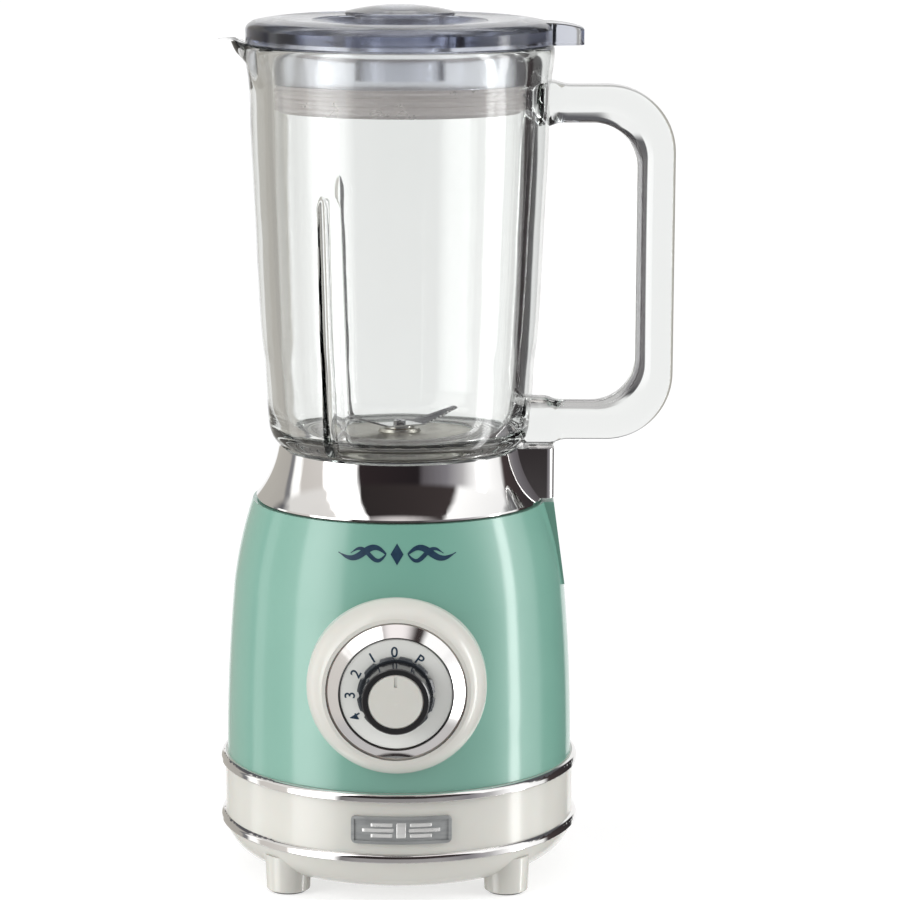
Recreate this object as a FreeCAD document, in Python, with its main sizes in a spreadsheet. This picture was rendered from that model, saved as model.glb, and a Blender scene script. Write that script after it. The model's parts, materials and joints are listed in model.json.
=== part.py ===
import FreeCAD, Part
import math
import os
import re
import Sketcher

# Countertop blender with a glass jug. Millimetres, +Z up. The origin is on the jug's axis, in the
# plane that the feet stand on; the handle points along +X, the spout along -X and the dial faces -Y.

doc = FreeCAD.newDocument("countertop_blender")
sizes = doc.addObject("Spreadsheet::Sheet", "Sizes")

DIMENSIONS = {
    # foot, pan and ring
    "foot_spacing": 50.0,
    "foot_radius": 10.0,
    "pan_floor": 6.0,
    "pan_flat_radius": 62.0,
    "lower_band": 22.4,
    "upper_band": 50.5,
    "band_height": 4.0,
    "band_radius": 83.6,
    "ring_radius": 81.5,
    "plate_turn": 1.6,
    # painted body
    "body_base": 54.5,
    "body_base_radius": 80.6,
    "body_shoulder": 136.0,
    "body_shoulder_radius": 76.8,
    "body_top": 174.8,
    "body_top_radius": 68.0,
    "body_wall": 3.0,
    # jug seat
    "collar_foot": 175.6,
    "collar_foot_radius": 66.4,
    "collar_top": 200.2,
    "collar_top_radius": 56.1,
    "well_radius": 52.3,
    "block_face": 71.5,
    "block_width": 26.0,
    "pin_place": 62.0,
    "pin_radius": 2.2,
    "switch_top": 156.4,
    # dial, measured along its own axis from the blender's axis
    "dial_height": 103.2,
    "bezel_radius": 40.4,
    "dial_floor": 86.8,
    "trim_radius": 31.5,
    "face_radius": 25.0,
    "face_front": 91.8,
    "skirt_radius": 17.4,
    "grip_radius": 15.0,
    "knob_front": 106.0,
    # motor
    "shaft_radius": 4.0,
    "core_base": 85.0,
    "core_height": 40.0,
    "core_bore": 23.5,
    "armature_radius": 22.7,
    "bearing_radius": 11.0,
    "running_gap": 0.05,
    # jug
    "jug_base": 200.6,
    "jug_rim": 384.2,
    "jug_rim_radius": 70.5,
    "jug_floor": 205.5,
    "jug_opening": 34.0,
    "neck_radius": 41.0,
    "neck_base": 186.0,
    "flute_radius": 7.0,
    "handle_reach": 126.0,
    "handle_bar": 17.5,
    "handle_top": 366.5,
    "handle_base": 203.0,
    # blade unit
    "holder_base": 182.0,
    "hub_top": 206.2,
    "blade_base": 208.1,
    "blade_reach": 27.5,
    "stud_radius": 1.6,
    # lid and measuring cap
    "lid_base": 384.6,
    "lid_radius": 70.3,
    "lid_crown": 395.3,
    "lid_ring_radius": 39.4,
    "plug_radius": 55.6,
    "plug_base": 355.0,
    "neck_bore": 21.5,
    "cap_radius": 25.4,
    "cap_top": 402.2,
}

for row, (name, value) in enumerate(DIMENSIONS.items(), start=1):
    sizes.set(f"A{row}", name)
    sizes.set(f"B{row}", str(value))
    sizes.setAlias(f"B{row}", name)
doc.recompute()

subparts = []


def bound(formula):
    """The formula as a document expression, with each size read from the sheet."""
    return re.sub(r"[a-z][a-z_]+[a-z]", lambda word: f"Sizes.{word.group()}"
                  if word.group() in DIMENSIONS else word.group(), str(formula))


def value_of(formula):
    return float(sizes.evalExpression(bound(formula)))


def sub_part(item, label):
    """Name a finished sub-part, so that it is written out."""
    item.Label = label
    subparts.append(item)
    return item


def new_sketch(body, plane, name):
    sketch = body.newObject("Sketcher::SketchObject", name)
    support = [item for item in body.Origin.OriginFeatures if item.Role == plane][0]
    sketch.AttachmentSupport = [(support, "")]
    sketch.MapMode = "FlatFace"
    return sketch


def bind_constraint(sketch, constraint, formula):
    index = sketch.addConstraint(constraint)
    sketch.setExpression(f"Constraints[{index}]", bound(formula))


def fix_point(sketch, edge, end, across, up):
    """Hold one end of an edge at its two distances from the sketch's origin."""
    for formula, kind, axis in ((across, "DistanceX", -2), (up, "DistanceY", -1)):
        distance = value_of(formula)
        if abs(distance) < 1e-9:
            sketch.addConstraint(Sketcher.Constraint("PointOnObject", edge, end, axis))
        else:
            constraint = Sketcher.Constraint(kind, -1, 1, edge, end, distance)
            bind_constraint(sketch, constraint, formula)


def draw_outline(sketch, outline):
    """A closed outline. A third entry makes the edge that leaves the point an arc of that radius."""
    places = [FreeCAD.Vector(value_of(point[0]), value_of(point[1]), 0) for point in outline]
    starts = []
    ends = []
    for number, point in enumerate(outline):
        first = places[number]
        last = places[(number + 1) % len(places)]
        if len(point) == 3:
            radius = value_of(point[2])
            half = (last - first).Length / 2
            right = FreeCAD.Vector(last.y - first.y, first.x - last.x, 0).normalize()
            reach = math.sqrt(radius * radius - half * half)
            centre = (first + last) / 2 - right * math.copysign(reach, radius)
            circle = Part.Circle(centre, FreeCAD.Vector(0, 0, 1), abs(radius))
            angles = [math.atan2(end.y - centre.y, end.x - centre.x) for end in (first, last)]
            if radius < 0:
                angles.reverse()
            edge = sketch.addGeometry(Part.ArcOfCircle(circle, *angles), False)
            starts.append((edge, 1 if radius > 0 else 2))
            ends.append((edge, 2 if radius > 0 else 1))
            bind_constraint(sketch, Sketcher.Constraint("Radius", edge, abs(radius)), f"abs({point[2]})")
        else:
            edge = sketch.addGeometry(Part.LineSegment(first, last), False)
            starts.append((edge, 1))
            ends.append((edge, 2))
    for number, point in enumerate(outline):
        sketch.addConstraint(Sketcher.Constraint("Coincident", *ends[number - 1], *starts[number]))
        fix_point(sketch, *starts[number], point[0], point[1])


def draw_circle(sketch, across, up, radius):
    centre = FreeCAD.Vector(value_of(across), value_of(up), 0)
    circle = Part.Circle(centre, FreeCAD.Vector(0, 0, 1), value_of(radius))
    edge = sketch.addGeometry(circle, False)
    bind_constraint(sketch, Sketcher.Constraint("Radius", edge, value_of(radius)), radius)
    fix_point(sketch, edge, 3, across, up)


def new_body(name):
    return doc.addObject("PartDesign::Body", name)


def turned(name, outline):
    """A body turned about Z from its half section of (radius, height) points."""
    body = new_body(name)
    sketch = new_sketch(body, "XZ_Plane", f"{name}_section")
    draw_outline(sketch, outline)
    turn = body.newObject("PartDesign::Revolution", f"{name}_turn")
    turn.Profile = sketch
    turn.ReferenceAxis = (sketch, ["V_Axis"])
    turn.Angle = 360
    body.Tip = turn
    doc.recompute()
    return body


def pad(body, name, plane, draw, length, base="0", midplane=False):
    """Add a pad of a drawn sketch to the body, starting at a height above its plane."""
    return push(body, "PartDesign::Pad", name, plane, draw, length, base, midplane)


def pocket(body, name, plane, draw, length, base="0", midplane=False):
    """Cut a drawn sketch upwards from its height, and make sure that it cuts."""
    before = body.Shape.Volume
    feature = push(body, "PartDesign::Pocket", name, plane, draw, length, base, midplane)
    if body.Shape.Volume > before - 1e-6:
        raise RuntimeError(f"{name} cuts nothing")
    return feature


def push(body, kind, name, plane, draw, length, base, midplane):
    sketch = new_sketch(body, plane, f"{name}_sketch")
    sketch.setExpression("AttachmentOffset.Base.z", bound(base))
    draw(sketch)
    feature = body.newObject(kind, name)
    feature.Profile = sketch
    feature.Midplane = midplane
    feature.Reversed = kind == "PartDesign::Pocket"
    feature.setExpression("Length", bound(length))
    body.Tip = feature
    doc.recompute()
    return feature


def around(body, feature, count):
    """Repeat a feature evenly about the body's Z axis."""
    pattern = body.newObject("PartDesign::PolarPattern", f"{feature.Name}_round")
    pattern.Originals = [feature]
    pattern.Axis = ([item for item in body.Origin.OriginFeatures if item.Role == "Z_Axis"][0], [""])
    pattern.Angle = 360
    pattern.Occurrences = count
    body.Tip = pattern
    doc.recompute()
    return pattern


def rectangle(across, width, up, height):
    """Draw a rectangle from its middle and width across, and its middle and height up."""
    corners = [(f"({across}) + ({width}) * {side} / 2", f"({up}) + ({height}) * {rise} / 2")
               for side, rise in ((-1, -1), (1, -1), (1, 1), (-1, 1))]
    return lambda sketch: draw_outline(sketch, corners)


def circle(across, up, radius):
    return lambda sketch: draw_circle(sketch, across, up, radius)


def placed(item, across="0", along="0", up="0"):
    for axis, formula in (("x", across), ("y", along), ("z", up)):
        item.setExpression(f"Placement.Base.{axis}", bound(formula))
    return item


def cylinder(name, radius, height, across="0", along="0", up="0"):
    item = doc.addObject("Part::Cylinder", name)
    item.setExpression("Radius", bound(radius))
    item.setExpression("Height", bound(height))
    return placed(item, across, along, up)


def box(name, width, depth, height, across="0", along="0", up="0"):
    """A box standing on its height, centred across and along."""
    item = doc.addObject("Part::Box", name)
    item.setExpression("Length", bound(width))
    item.setExpression("Width", bound(depth))
    item.setExpression("Height", bound(height))
    return placed(item, f"({across}) - ({width}) / 2", f"({along}) - ({depth}) / 2", up)


def cut(name, base, *tools):
    item = base
    for number, tool in enumerate(tools):
        result = doc.addObject("Part::Cut", f"{name}_cut_{number}")
        result.Base = item
        result.Tool = tool
        item = result
    doc.recompute()
    return item


def fuse(name, *pieces):
    item = doc.addObject("Part::MultiFuse", name)
    item.Shapes = list(pieces)
    doc.recompute()
    return item


def common(name, *pieces):
    item = doc.addObject("Part::MultiCommon", name)
    item.Shapes = list(pieces)
    doc.recompute()
    return item


def group(name, *pieces):
    """Separate solids of one sub-part, kept apart."""
    item = doc.addObject("Part::Compound", name)
    item.Links = list(pieces)
    doc.recompute()
    return item


def tube(name, outer, inner, height, up, across="0", along="0"):
    solid = cylinder(f"{name}_outer", outer, height, across, along, up)
    bore = cylinder(f"{name}_bore", inner, f"({height}) + 2", across, along, f"({up}) - 1")
    return cut(name, solid, bore)


def rounded(name, base, radius, chosen):
    """Round the edges of an object that the test picks by their middle point."""
    doc.recompute()
    item = doc.addObject("Part::Fillet", name)
    item.Base = base
    edges = [(number, radius, radius) for number, edge in enumerate(base.Shape.Edges, start=1)
             if chosen(edge.valueAt((edge.FirstParameter + edge.LastParameter) / 2))]
    item.Edges = edges
    doc.recompute()
    return item


def posed(item, base, axis, tilt, turn=0):
    """Place an object with a tilt about its own axis, then turn it about the blender's axis."""
    for direction in "xyz":
        item.setExpression(f"Placement.Base.{direction}", None)
    stand = FreeCAD.Placement(FreeCAD.Vector(*base), FreeCAD.Rotation(FreeCAD.Vector(*axis), tilt))
    spin = FreeCAD.Placement(FreeCAD.Vector(), FreeCAD.Rotation(FreeCAD.Vector(0, 0, 1), turn))
    item.Placement = spin.multiply(stand)
    return item


def facing_front(item, start="0"):
    """Lay a part that was made about Z along the dial's axis, which points to -Y."""
    item.Placement.Rotation = FreeCAD.Rotation(FreeCAD.Vector(1, 0, 0), 90)
    return placed(item, "0", f"-({start})", "dial_height")


def diagonal_posts(name, start, reach, width, height, up):
    """Four upright ribs, one towards each foot."""
    posts = new_body(name)
    plan = rectangle(f"(({start}) + ({reach})) / 2", f"({reach}) - ({start})", "0", width)
    around(posts, pad(posts, f"{name}_rib", "XY_Plane", plan, height, up), 4)
    posts.Placement.Rotation = FreeCAD.Rotation(FreeCAD.Vector(0, 0, 1), 45)
    return posts


# ---------------------------------------------------------------- foot pan, ring and bands

CORNERS = [(side_x, side_y) for side_x in (-1, 1) for side_y in (-1, 1)]


def feet(name, radius, height, up):
    """One cylinder on each foot's axis."""
    return [cylinder(f"{name}_{number}", radius, height, f"foot_spacing * {side_x}",
                     f"foot_spacing * {side_y}", up)
            for number, (side_x, side_y) in enumerate(CORNERS)]


def make_pan():
    bowl = turned("pan_bowl", [
        ("0", "pan_floor"),
        ("pan_flat_radius", "pan_floor", "23"),
        ("ring_radius + 0.7", "lower_band - 0.2"),
        ("ring_radius - 2", "lower_band - 0.2", "-20.5"),
        ("pan_flat_radius", "pan_floor + 2.5"),
        ("0", "pan_floor + 2.5"),
    ])
    slot = rectangle("34", "24", "0", "3")
    around(bowl, pocket(bowl, "pan_vent", "XY_Plane", slot, "4", "pan_floor - 0.5"), 16)
    posts = []
    for number, (side_x, side_y) in enumerate(CORNERS):
        post = doc.addObject("Part::Cone", f"pan_post_{number}")
        post.setExpression("Radius1", bound("foot_radius"))
        post.setExpression("Radius2", bound("foot_radius + 0.8"))
        post.setExpression("Height", bound("17"))
        posts.append(placed(post, f"foot_spacing * {side_x}", f"foot_spacing * {side_y}", "0.8"))
    pan = fuse("pan_with_posts", bowl, *posts)
    recesses = feet("pan_recess", "8.4", "2.4", "0.2")
    wells = feet("pan_screw_well", "4.6", "12", "2")
    holes = feet("pan_screw_hole", "2.2", "8", "12")
    pan = cut("pan_drilled", pan, *recesses, *wells, *holes)
    soles = rounded("pan_rounded", pan, 1.0, lambda point: abs(point.z - 0.8) < 0.01
                    and math.hypot(abs(point.x) - 50, abs(point.y) - 50) > 9.5)
    sub_part(soles, "base_pan")


def make_ring():
    ring = turned("ring_wall", [
        ("ring_radius - 3", "lower_band"),
        ("ring_radius", "lower_band"),
        ("ring_radius", "body_base - 0.1"),
        ("ring_radius - 3", "body_base - 0.1"),
    ])
    posts = diagonal_posts("ring_posts", "63", "ring_radius - 1", "10", "body_base - lower_band - 2",
                           "lower_band + 1")
    ring = fuse("ring_with_posts", ring, posts)
    holes = feet("ring_screw_hole", "2.2", "60", "lower_band - 2")
    inlet = posed(cylinder("ring_inlet_hole", "4.9", "20"), (0, 92, 38), (1, 0, 0), 90)
    sub_part(cut("ring_drilled", ring, *holes, inlet), "base_ring")


def make_band(name, label, base):
    """A polished strip with a rolled upper edge, clipped round the ring."""
    band = turned(name, [
        ("ring_radius", base),
        ("band_radius - 0.5", base, "0.6"),
        ("band_radius", f"{base} + 0.5"),
        ("band_radius", f"{base} + 2.2", "2.6"),
        ("ring_radius + 0.2", f"{base} + band_height"),
        ("ring_radius", f"{base} + band_height"),
    ])
    sub_part(band, label)


def make_name_plate():
    """A blank curved badge: a slice of a thin ring with a raised rim."""
    backing = tube("plate_backing", "ring_radius + 0.9", "ring_radius", "12.6", "31.3")
    rim = tube("plate_rim", "ring_radius + 1.5", "ring_radius + 0.4", "12.6", "31.3")
    window = box("plate_window", "42.6", "40", "9.8", "0", "-band_radius", "32.7")
    outline = box("plate_outline", "45.4", "40", "12.6", "0", "-band_radius", "31.3")
    corners = rounded("plate_corners", outline, 2.2, lambda point: abs(abs(point.x) - 22.7) < 0.01
                      and min(abs(point.z - 31.3), abs(point.z - 43.9)) < 0.01)
    plate = common("plate_blank", fuse("plate_stock", backing, cut("plate_frame", rim, window)), corners)
    sub_part(posed(plate, (0, 0, 0), (0, 0, 1), value_of("plate_turn")), "name_plate")


def make_foot_pads():
    pads = feet("foot_pad", "8.2", "2.5", "0")
    sub_part(group("pads", *pads), "foot_pads")


def make_bottom_screws():
    screws = []
    for number, (side_x, side_y) in enumerate(CORNERS):
        place = (f"foot_spacing * {side_x}", f"foot_spacing * {side_y}")
        head = cylinder(f"bottom_head_{number}", "4", "2.6", *place, "11.2")
        stem = cylinder(f"bottom_stem_{number}", "2", "52", *place, "13.5")
        recess = box(f"bottom_recess_{number}", "4.5", "1", "1.2", *place, "10.8")
        screws.append(cut(f"bottom_screw_{number}", fuse(f"bottom_blank_{number}", head, stem), recess))
    sub_part(group("bottom_screw_set", *screws), "bottom_screws")


make_pan()
make_ring()
make_band("lower_strip", "lower_trim_band", "lower_band")
make_band("upper_strip", "upper_trim_band", "upper_band")
make_name_plate()
make_foot_pads()
make_bottom_screws()

# ---------------------------------------------------------------- painted body and jug seat

BODY_OUTSIDE = [
    ("0", "body_base"),
    ("body_base_radius", "body_base", "900"),
    ("body_shoulder_radius", "body_shoulder", "200"),
    ("body_top_radius", "body_top"),
    ("0", "body_top"),
]


def make_body_shell():
    shell = turned("body_turned", [
        ("body_base_radius - body_wall", "body_base"),
        ("body_base_radius", "body_base", "900"),
        ("body_shoulder_radius", "body_shoulder", "200"),
        ("body_top_radius", "body_top"),
        ("well_radius", "body_top"),
        ("well_radius", "body_top - body_wall"),
        ("body_top_radius - body_wall", "body_top - body_wall", "-200"),
        ("body_shoulder_radius - body_wall", "body_shoulder", "-900"),
    ])
    ridge = [
        ("block_face - 5", "body_top"),
        ("block_face", "body_top"),
        ("body_shoulder_radius", "body_shoulder"),
        ("body_shoulder_radius - body_wall + 1", "body_shoulder"),
    ]
    pad(shell, "handle_ridge", "XZ_Plane", lambda sketch: draw_outline(sketch, ridge),
        "block_width", midplane=True)
    posts = diagonal_posts("body_posts", "65", "body_base_radius - 2", "10", "16", "body_base")
    lugs = [cylinder(f"body_lug_{number}", "5", "18", f"44 * {side_x}", f"44 * {side_y}",
                     "body_top - body_wall - 18") for number, (side_x, side_y) in enumerate(CORNERS)]
    shell = fuse("body_with_posts", shell, posts, *lugs)
    dial_hole = facing_front(cylinder("dial_hole", "12", "30"), "60")
    pin_hole = cylinder("body_pin_hole", "pin_radius + 0.4", "10", "pin_place", "0", "body_top - 6")
    holes = feet("body_screw_hole", "2", "14", "body_base - 1")
    plate_holes = [cylinder(f"plate_hole_{number}", "1.5", "12", f"44 * {side_x}", f"44 * {side_y}",
                            "body_top - body_wall - 19") for number, (side_x, side_y) in enumerate(CORNERS)]
    sub_part(cut("body_drilled", shell, dial_hole, pin_hole, *holes, *plate_holes), "body_shell")


def make_collar():
    collar = turned("collar_turned", [
        ("well_radius", "collar_top - 0.8"),
        ("well_radius", "collar_foot + 16"),
        ("collar_foot_radius - 8", "collar_foot + 9"),
        ("collar_foot_radius - 2", "collar_foot"),
        ("collar_foot_radius", "collar_foot"),
        ("collar_foot_radius", "collar_foot + 0.8", "-45"),
        ("collar_top_radius", "collar_top - 0.8"),
        ("collar_top_radius - 0.8", "collar_top"),
        ("well_radius + 0.8", "collar_top"),
    ])
    block = [
        ("well_radius + 1.7", "-block_width / 2"),
        ("block_face - 4", "-block_width / 2", "4"),
        ("block_face", "-block_width / 2 + 4"),
        ("block_face", "block_width / 2 - 4", "4"),
        ("block_face - 4", "block_width / 2"),
        ("well_radius + 1.7", "block_width / 2"),
    ]
    pad(collar, "seat_block", "XY_Plane", lambda sketch: draw_outline(sketch, block),
        "collar_top - 0.6 - body_top - 1.8", "body_top + 1.8")
    spring_well = circle("pin_place", "0", "4.5")
    pocket(collar, "spring_well", "XY_Plane", spring_well, "14.3", "collar_foot")
    pin_bore = circle("pin_place", "0", "pin_radius + 0.4")
    pocket(collar, "pin_bore", "XY_Plane", pin_bore, "20", "collar_foot + 10")
    sub_part(collar, "jug_collar")


def make_seat_deck():
    """The black floor of the well, with a lip round the drive and a flange under the collar."""
    deck = turned("deck_turned", [
        ("14.5", "body_top"),
        ("collar_foot_radius - 2.6", "body_top"),
        ("collar_foot_radius - 2.6", "body_top + 0.8"),
        ("well_radius - 0.1", "body_top + 1.6"),
        ("well_radius - 0.1", "collar_top - 3"),
        ("well_radius - 1.8", "collar_top - 3"),
        ("well_radius - 1.8", "body_top + 2.8"),
        ("17", "body_top + 2.8"),
        ("17", "body_top + 4.6"),
        ("14.5", "body_top + 4.6"),
    ])
    pin_hole = circle("pin_place", "0", "pin_radius + 0.4")
    pocket(deck, "deck_pin_hole", "XY_Plane", pin_hole, "5", "body_top - 1")
    drain = rectangle("34", "12", "0", "3")
    around(deck, pocket(deck, "deck_drain", "XY_Plane", drain, "5", "body_top - 1"), 3)
    sub_part(deck, "jug_seat_deck")


make_body_shell()
make_collar()
make_seat_deck()

# ---------------------------------------------------------------- dial and switch


def make_bezel():
    bezel = turned("bezel_turned", [
        ("bezel_radius - 2.5", "60"),
        ("bezel_radius", "60"),
        ("bezel_radius", "dial_floor - 9", "16"),
        ("trim_radius + 1.8", "dial_floor + 1.2"),
        ("trim_radius + 0.1", "dial_floor + 1.6"),
        ("trim_radius + 0.1", "dial_floor"),
        ("5.4", "dial_floor"),
        ("5.4", "74"),
        ("11.5", "74"),
        ("11.5", "dial_floor - 2.5"),
        ("trim_radius - 1", "dial_floor - 2.5", "-13"),
        ("bezel_radius - 2.5", "dial_floor - 9.5"),
    ])
    facing_front(bezel)
    core = turned("bezel_trimmer", BODY_OUTSIDE)
    boss = facing_front(cylinder("bezel_boss", "11.5", "10"), "74")
    sub_part(cut("bezel_fitted", bezel, cut("bezel_bed", core, boss)), "dial_bezel")


def make_dial_rings():
    trim = turned("trim_turned", [
        ("face_radius + 0.4", "dial_floor"),
        ("trim_radius", "dial_floor"),
        ("trim_radius", "dial_floor + 0.7"),
        ("face_radius + 0.8", "face_front + 0.8"),
        ("face_radius + 0.4", "face_front + 0.6"),
    ])
    sub_part(facing_front(trim), "dial_trim_ring")
    face = turned("face_turned", [
        ("5.4", "dial_floor"),
        ("face_radius", "dial_floor"),
        ("face_radius", "face_front - 0.3"),
        ("face_radius - 0.3", "face_front"),
        ("5.4", "face_front"),
    ])
    sub_part(facing_front(face), "dial_plate")


def make_rotary_switch():
    switch = turned("switch_turned", [
        ("3.1", "54"),
        ("15", "54"),
        ("15", "71"),
        ("5.3", "71"),
        ("5.3", "dial_floor - 1"),
        ("3.1", "dial_floor - 1"),
    ])
    for number, place in enumerate(("-10", "10")):
        pad(switch, f"switch_tab_{number}", "XY_Plane", rectangle(place, "4", "0", "1"), "6", "49")
    sub_part(facing_front(switch), "rotary_switch")


def make_knob():
    skirt = turned("skirt_turned", [
        ("3", "face_front + 0.6"),
        ("skirt_radius", "face_front + 0.6"),
        ("skirt_radius", "face_front + 2.2"),
        ("skirt_radius - 1", "face_front + 3.2"),
        ("3", "face_front + 3.2"),
    ])
    notch = circle("skirt_radius + 0.8", "0", "1.9")
    around(skirt, pocket(skirt, "skirt_notch", "XY_Plane", notch, "4", "face_front + 0.2"), 12)
    sub_part(facing_front(skirt), "knob_skirt")
    grip = turned("grip_turned", [
        ("3", "face_front + 3.2"),
        ("grip_radius + 0.6", "face_front + 3.2"),
        ("grip_radius", "knob_front - 0.5"),
        ("grip_radius - 0.5", "knob_front"),
        ("grip_radius - 2.7", "knob_front"),
        ("grip_radius - 2.7", "knob_front - 3"),
        ("3", "knob_front - 3"),
    ])
    sub_part(facing_front(grip), "knob_grip")
    cap = turned("knob_cap_turned", [
        ("0", "knob_front - 3"),
        ("grip_radius - 2.7", "knob_front - 3"),
        ("grip_radius - 2.7", "knob_front - 0.6"),
        ("grip_radius - 3.3", "knob_front - 0.1", "((grip_radius - 3.3) ^ 2 + 0.49) / 1.4"),
        ("0", "knob_front + 0.6"),
    ])
    pointer = rectangle("0", "1.4", "grip_radius - 6.1", "4.6")
    pocket(cap, "pointer_groove", "XY_Plane", pointer, "3", "knob_front - 0.2")
    sub_part(facing_front(cap), "knob_cap")
    shaft = cylinder("switch_shaft_rod", "3", "knob_front - 3 - 56")
    sub_part(facing_front(shaft, "56"), "switch_shaft")


def make_control_board():
    board = box("board_panel", "56", "1.6", "34", "0", "-47", "86")
    parts = [box(f"board_part_{number}", width, "6", height, across, "-43.2", up)
             for number, (width, height, across, up) in enumerate(
                 (("12", "12", "-16", "92"), ("9", "16", "4", "96"), ("7", "7", "18", "108")))]
    sub_part(fuse("board_loaded", board, *parts), "control_board")


make_bezel()
make_dial_rings()
make_rotary_switch()
make_knob()
make_control_board()

# ---------------------------------------------------------------- motor


def make_stator():
    core = new_body("stator_body")
    plan = rectangle("0", "84", "0", "64")
    pad(core, "stator_stack", "XY_Plane", plan, "core_height", "core_base")
    pocket(core, "stator_bore", "XY_Plane", circle("0", "0", "core_bore"), "core_height + 2", "core_base - 1")
    for number, (side_x, side_y) in enumerate(CORNERS):
        slot = rectangle(f"28 * {side_x}", "9", f"22 * {side_y}", "9")
        pocket(core, f"stator_slot_{number}", "XY_Plane", slot, "core_height + 2", "core_base - 1")
        bolt = circle(f"37 * {side_x}", f"27 * {side_y}", "2.2")
        pocket(core, f"stator_bolt_{number}", "XY_Plane", bolt, "core_height + 2", "core_base - 1")
    sub_part(core, "stator_core")
    coils = []
    for side in (-1, 1):
        frame = box(f"coil_frame_{side + 1}", "8", "52", "core_height + 20", f"28 * {side}", "0",
                    "core_base - 10")
        window = box(f"coil_window_{side + 1}", "10", "36", "core_height + 0.4", f"28 * {side}", "0",
                     "core_base - 0.2")
        coil = cut(f"coil_{side + 1}", frame, window)
        coils.append(rounded(f"coil_round_{side + 1}", coil, 3.0, lambda point:
                             abs(abs(point.y) - 26) < 0.01 and abs(point.z - 105) > 29))
    sub_part(group("coil_pair", *coils), "field_coils")


def make_bracket(name, label, bar_depth, plate_up, leg_up, leg_height, boss_up):
    """A cast bar across the stator with two legs, bolt holes and a bearing boss."""
    bar = box(f"{name}_bar", "84", bar_depth, "4", "0", "0", plate_up)
    legs = [box(f"{name}_leg_{side + 1}", "5", "62", leg_height, f"39.5 * {side}", "0", leg_up)
            for side in (-1, 1)]
    boss = cylinder(f"{name}_boss", "bearing_radius + 3", "8", "0", "0", boss_up)
    bore = cylinder(f"{name}_bore", "bearing_radius", "7", "0", "0", f"{boss_up} + 0.5")
    way = cylinder(f"{name}_way", "bearing_radius - 2", "20", "0", "0", f"{boss_up} - 6")
    bolts = [cylinder(f"{name}_bolt_{number}", "2.2", f"{leg_height} + 20", f"37 * {side_x}",
                      f"27 * {side_y}", f"{leg_up} - 5") for number, (side_x, side_y) in enumerate(CORNERS)]
    sub_part(cut(name, fuse(f"{name}_cast", bar, *legs, boss), bore, way, *bolts), label)


def make_bearings():
    sub_part(tube("upper_bearing_race", "bearing_radius", "shaft_radius + running_gap", "7", "139.5"),
             "upper_motor_bearing")
    sub_part(tube("lower_bearing_race", "bearing_radius", "shaft_radius + running_gap", "7", "46.5"),
             "lower_motor_bearing")


def make_motor_screws():
    screws = []
    for number, (side_x, side_y) in enumerate(CORNERS):
        place = (f"37 * {side_x}", f"27 * {side_y}")
        head = cylinder(f"motor_head_{number}", "3.6", "3", *place, "43.4")
        stem = cylinder(f"motor_stem_{number}", "2.1", "98", *place, "46")
        screws.append(fuse(f"motor_screw_{number}", head, stem))
    sub_part(group("motor_screw_set", *screws), "motor_screws")


def make_brush_gear():
    holders = []
    brushes = []
    for side in (-1, 1):
        holder = box(f"brush_tube_{side + 1}", "10", "20", "12", "0", f"24 * {side}", "60")
        bore = box(f"brush_bore_{side + 1}", "7", "30", "9", "0", f"24 * {side}", "61.5")
        post = box(f"brush_post_{side + 1}", "10", "6", "10.1", "0", f"27 * {side}", "50.4")
        holders.append(fuse(f"brush_holder_{side + 1}", cut(f"brush_shell_{side + 1}", holder, bore), post))
        brushes.append(box(f"brush_{side + 1}", "7", "16", "9", "0", f"20.4 * {side}", "61.5"))
    sub_part(group("brush_holder_pair", *holders), "brush_holders")
    sub_part(group("brush_pair", *brushes), "carbon_brushes")


def make_armature():
    shaft = cylinder("shaft_rod", "shaft_radius", "156", "0", "0", "28")
    sub_part(shaft, "motor_shaft")
    core = new_body("armature_body")
    pad(core, "armature_stack", "XY_Plane", circle("0", "0", "armature_radius"), "core_height", "core_base")
    pocket(core, "armature_bore", "XY_Plane", circle("0", "0", "shaft_radius"), "core_height + 2",
           "core_base - 1")
    slot = rectangle("armature_radius - 4", "10", "0", "3.2")
    around(core, pocket(core, "armature_slot", "XY_Plane", slot, "core_height + 2", "core_base - 1"), 12)
    sub_part(core, "armature_core")
    windings = new_body("winding_body")
    pad(windings, "winding_ends", "XY_Plane", circle("0", "0", "armature_radius - 3"), "core_height + 17",
        "core_base - 8.5")
    pocket(windings, "winding_bore", "XY_Plane", circle("0", "0", "shaft_radius + 3"),
           "core_height + 20", "core_base - 10")
    windings = cut("winding_set", windings, cut("winding_former", cylinder(
        "winding_former_rod", "armature_radius", "core_height", "0", "0", "core_base"),
        winding_slots()))
    sub_part(windings, "armature_windings")
    commutator = tube("commutator_ring", "12", "shaft_radius", "15", "59")
    sub_part(commutator, "commutator")


def winding_slots():
    """Twelve bars of wire that fill the slots of the armature."""
    bars = new_body("winding_bars")
    bar = rectangle("armature_radius - 6", "6", "0", "3.2")
    around(bars, pad(bars, "winding_bar", "XY_Plane", bar, "core_height", "core_base"), 12)
    return bars


def make_fan():
    fan = new_body("fan_body")
    pad(fan, "fan_hub", "XY_Plane", circle("0", "0", "8"), "11", "30")
    pad(fan, "fan_disc", "XY_Plane", circle("0", "0", "32"), "1.6", "39.4")
    around(fan, pad(fan, "fan_blade", "XY_Plane", rectangle("19", "25", "0", "1.4"), "9", "31"), 10)
    pocket(fan, "fan_bore", "XY_Plane", circle("0", "0", "shaft_radius"), "13", "29")
    sub_part(fan, "cooling_fan")


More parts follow.
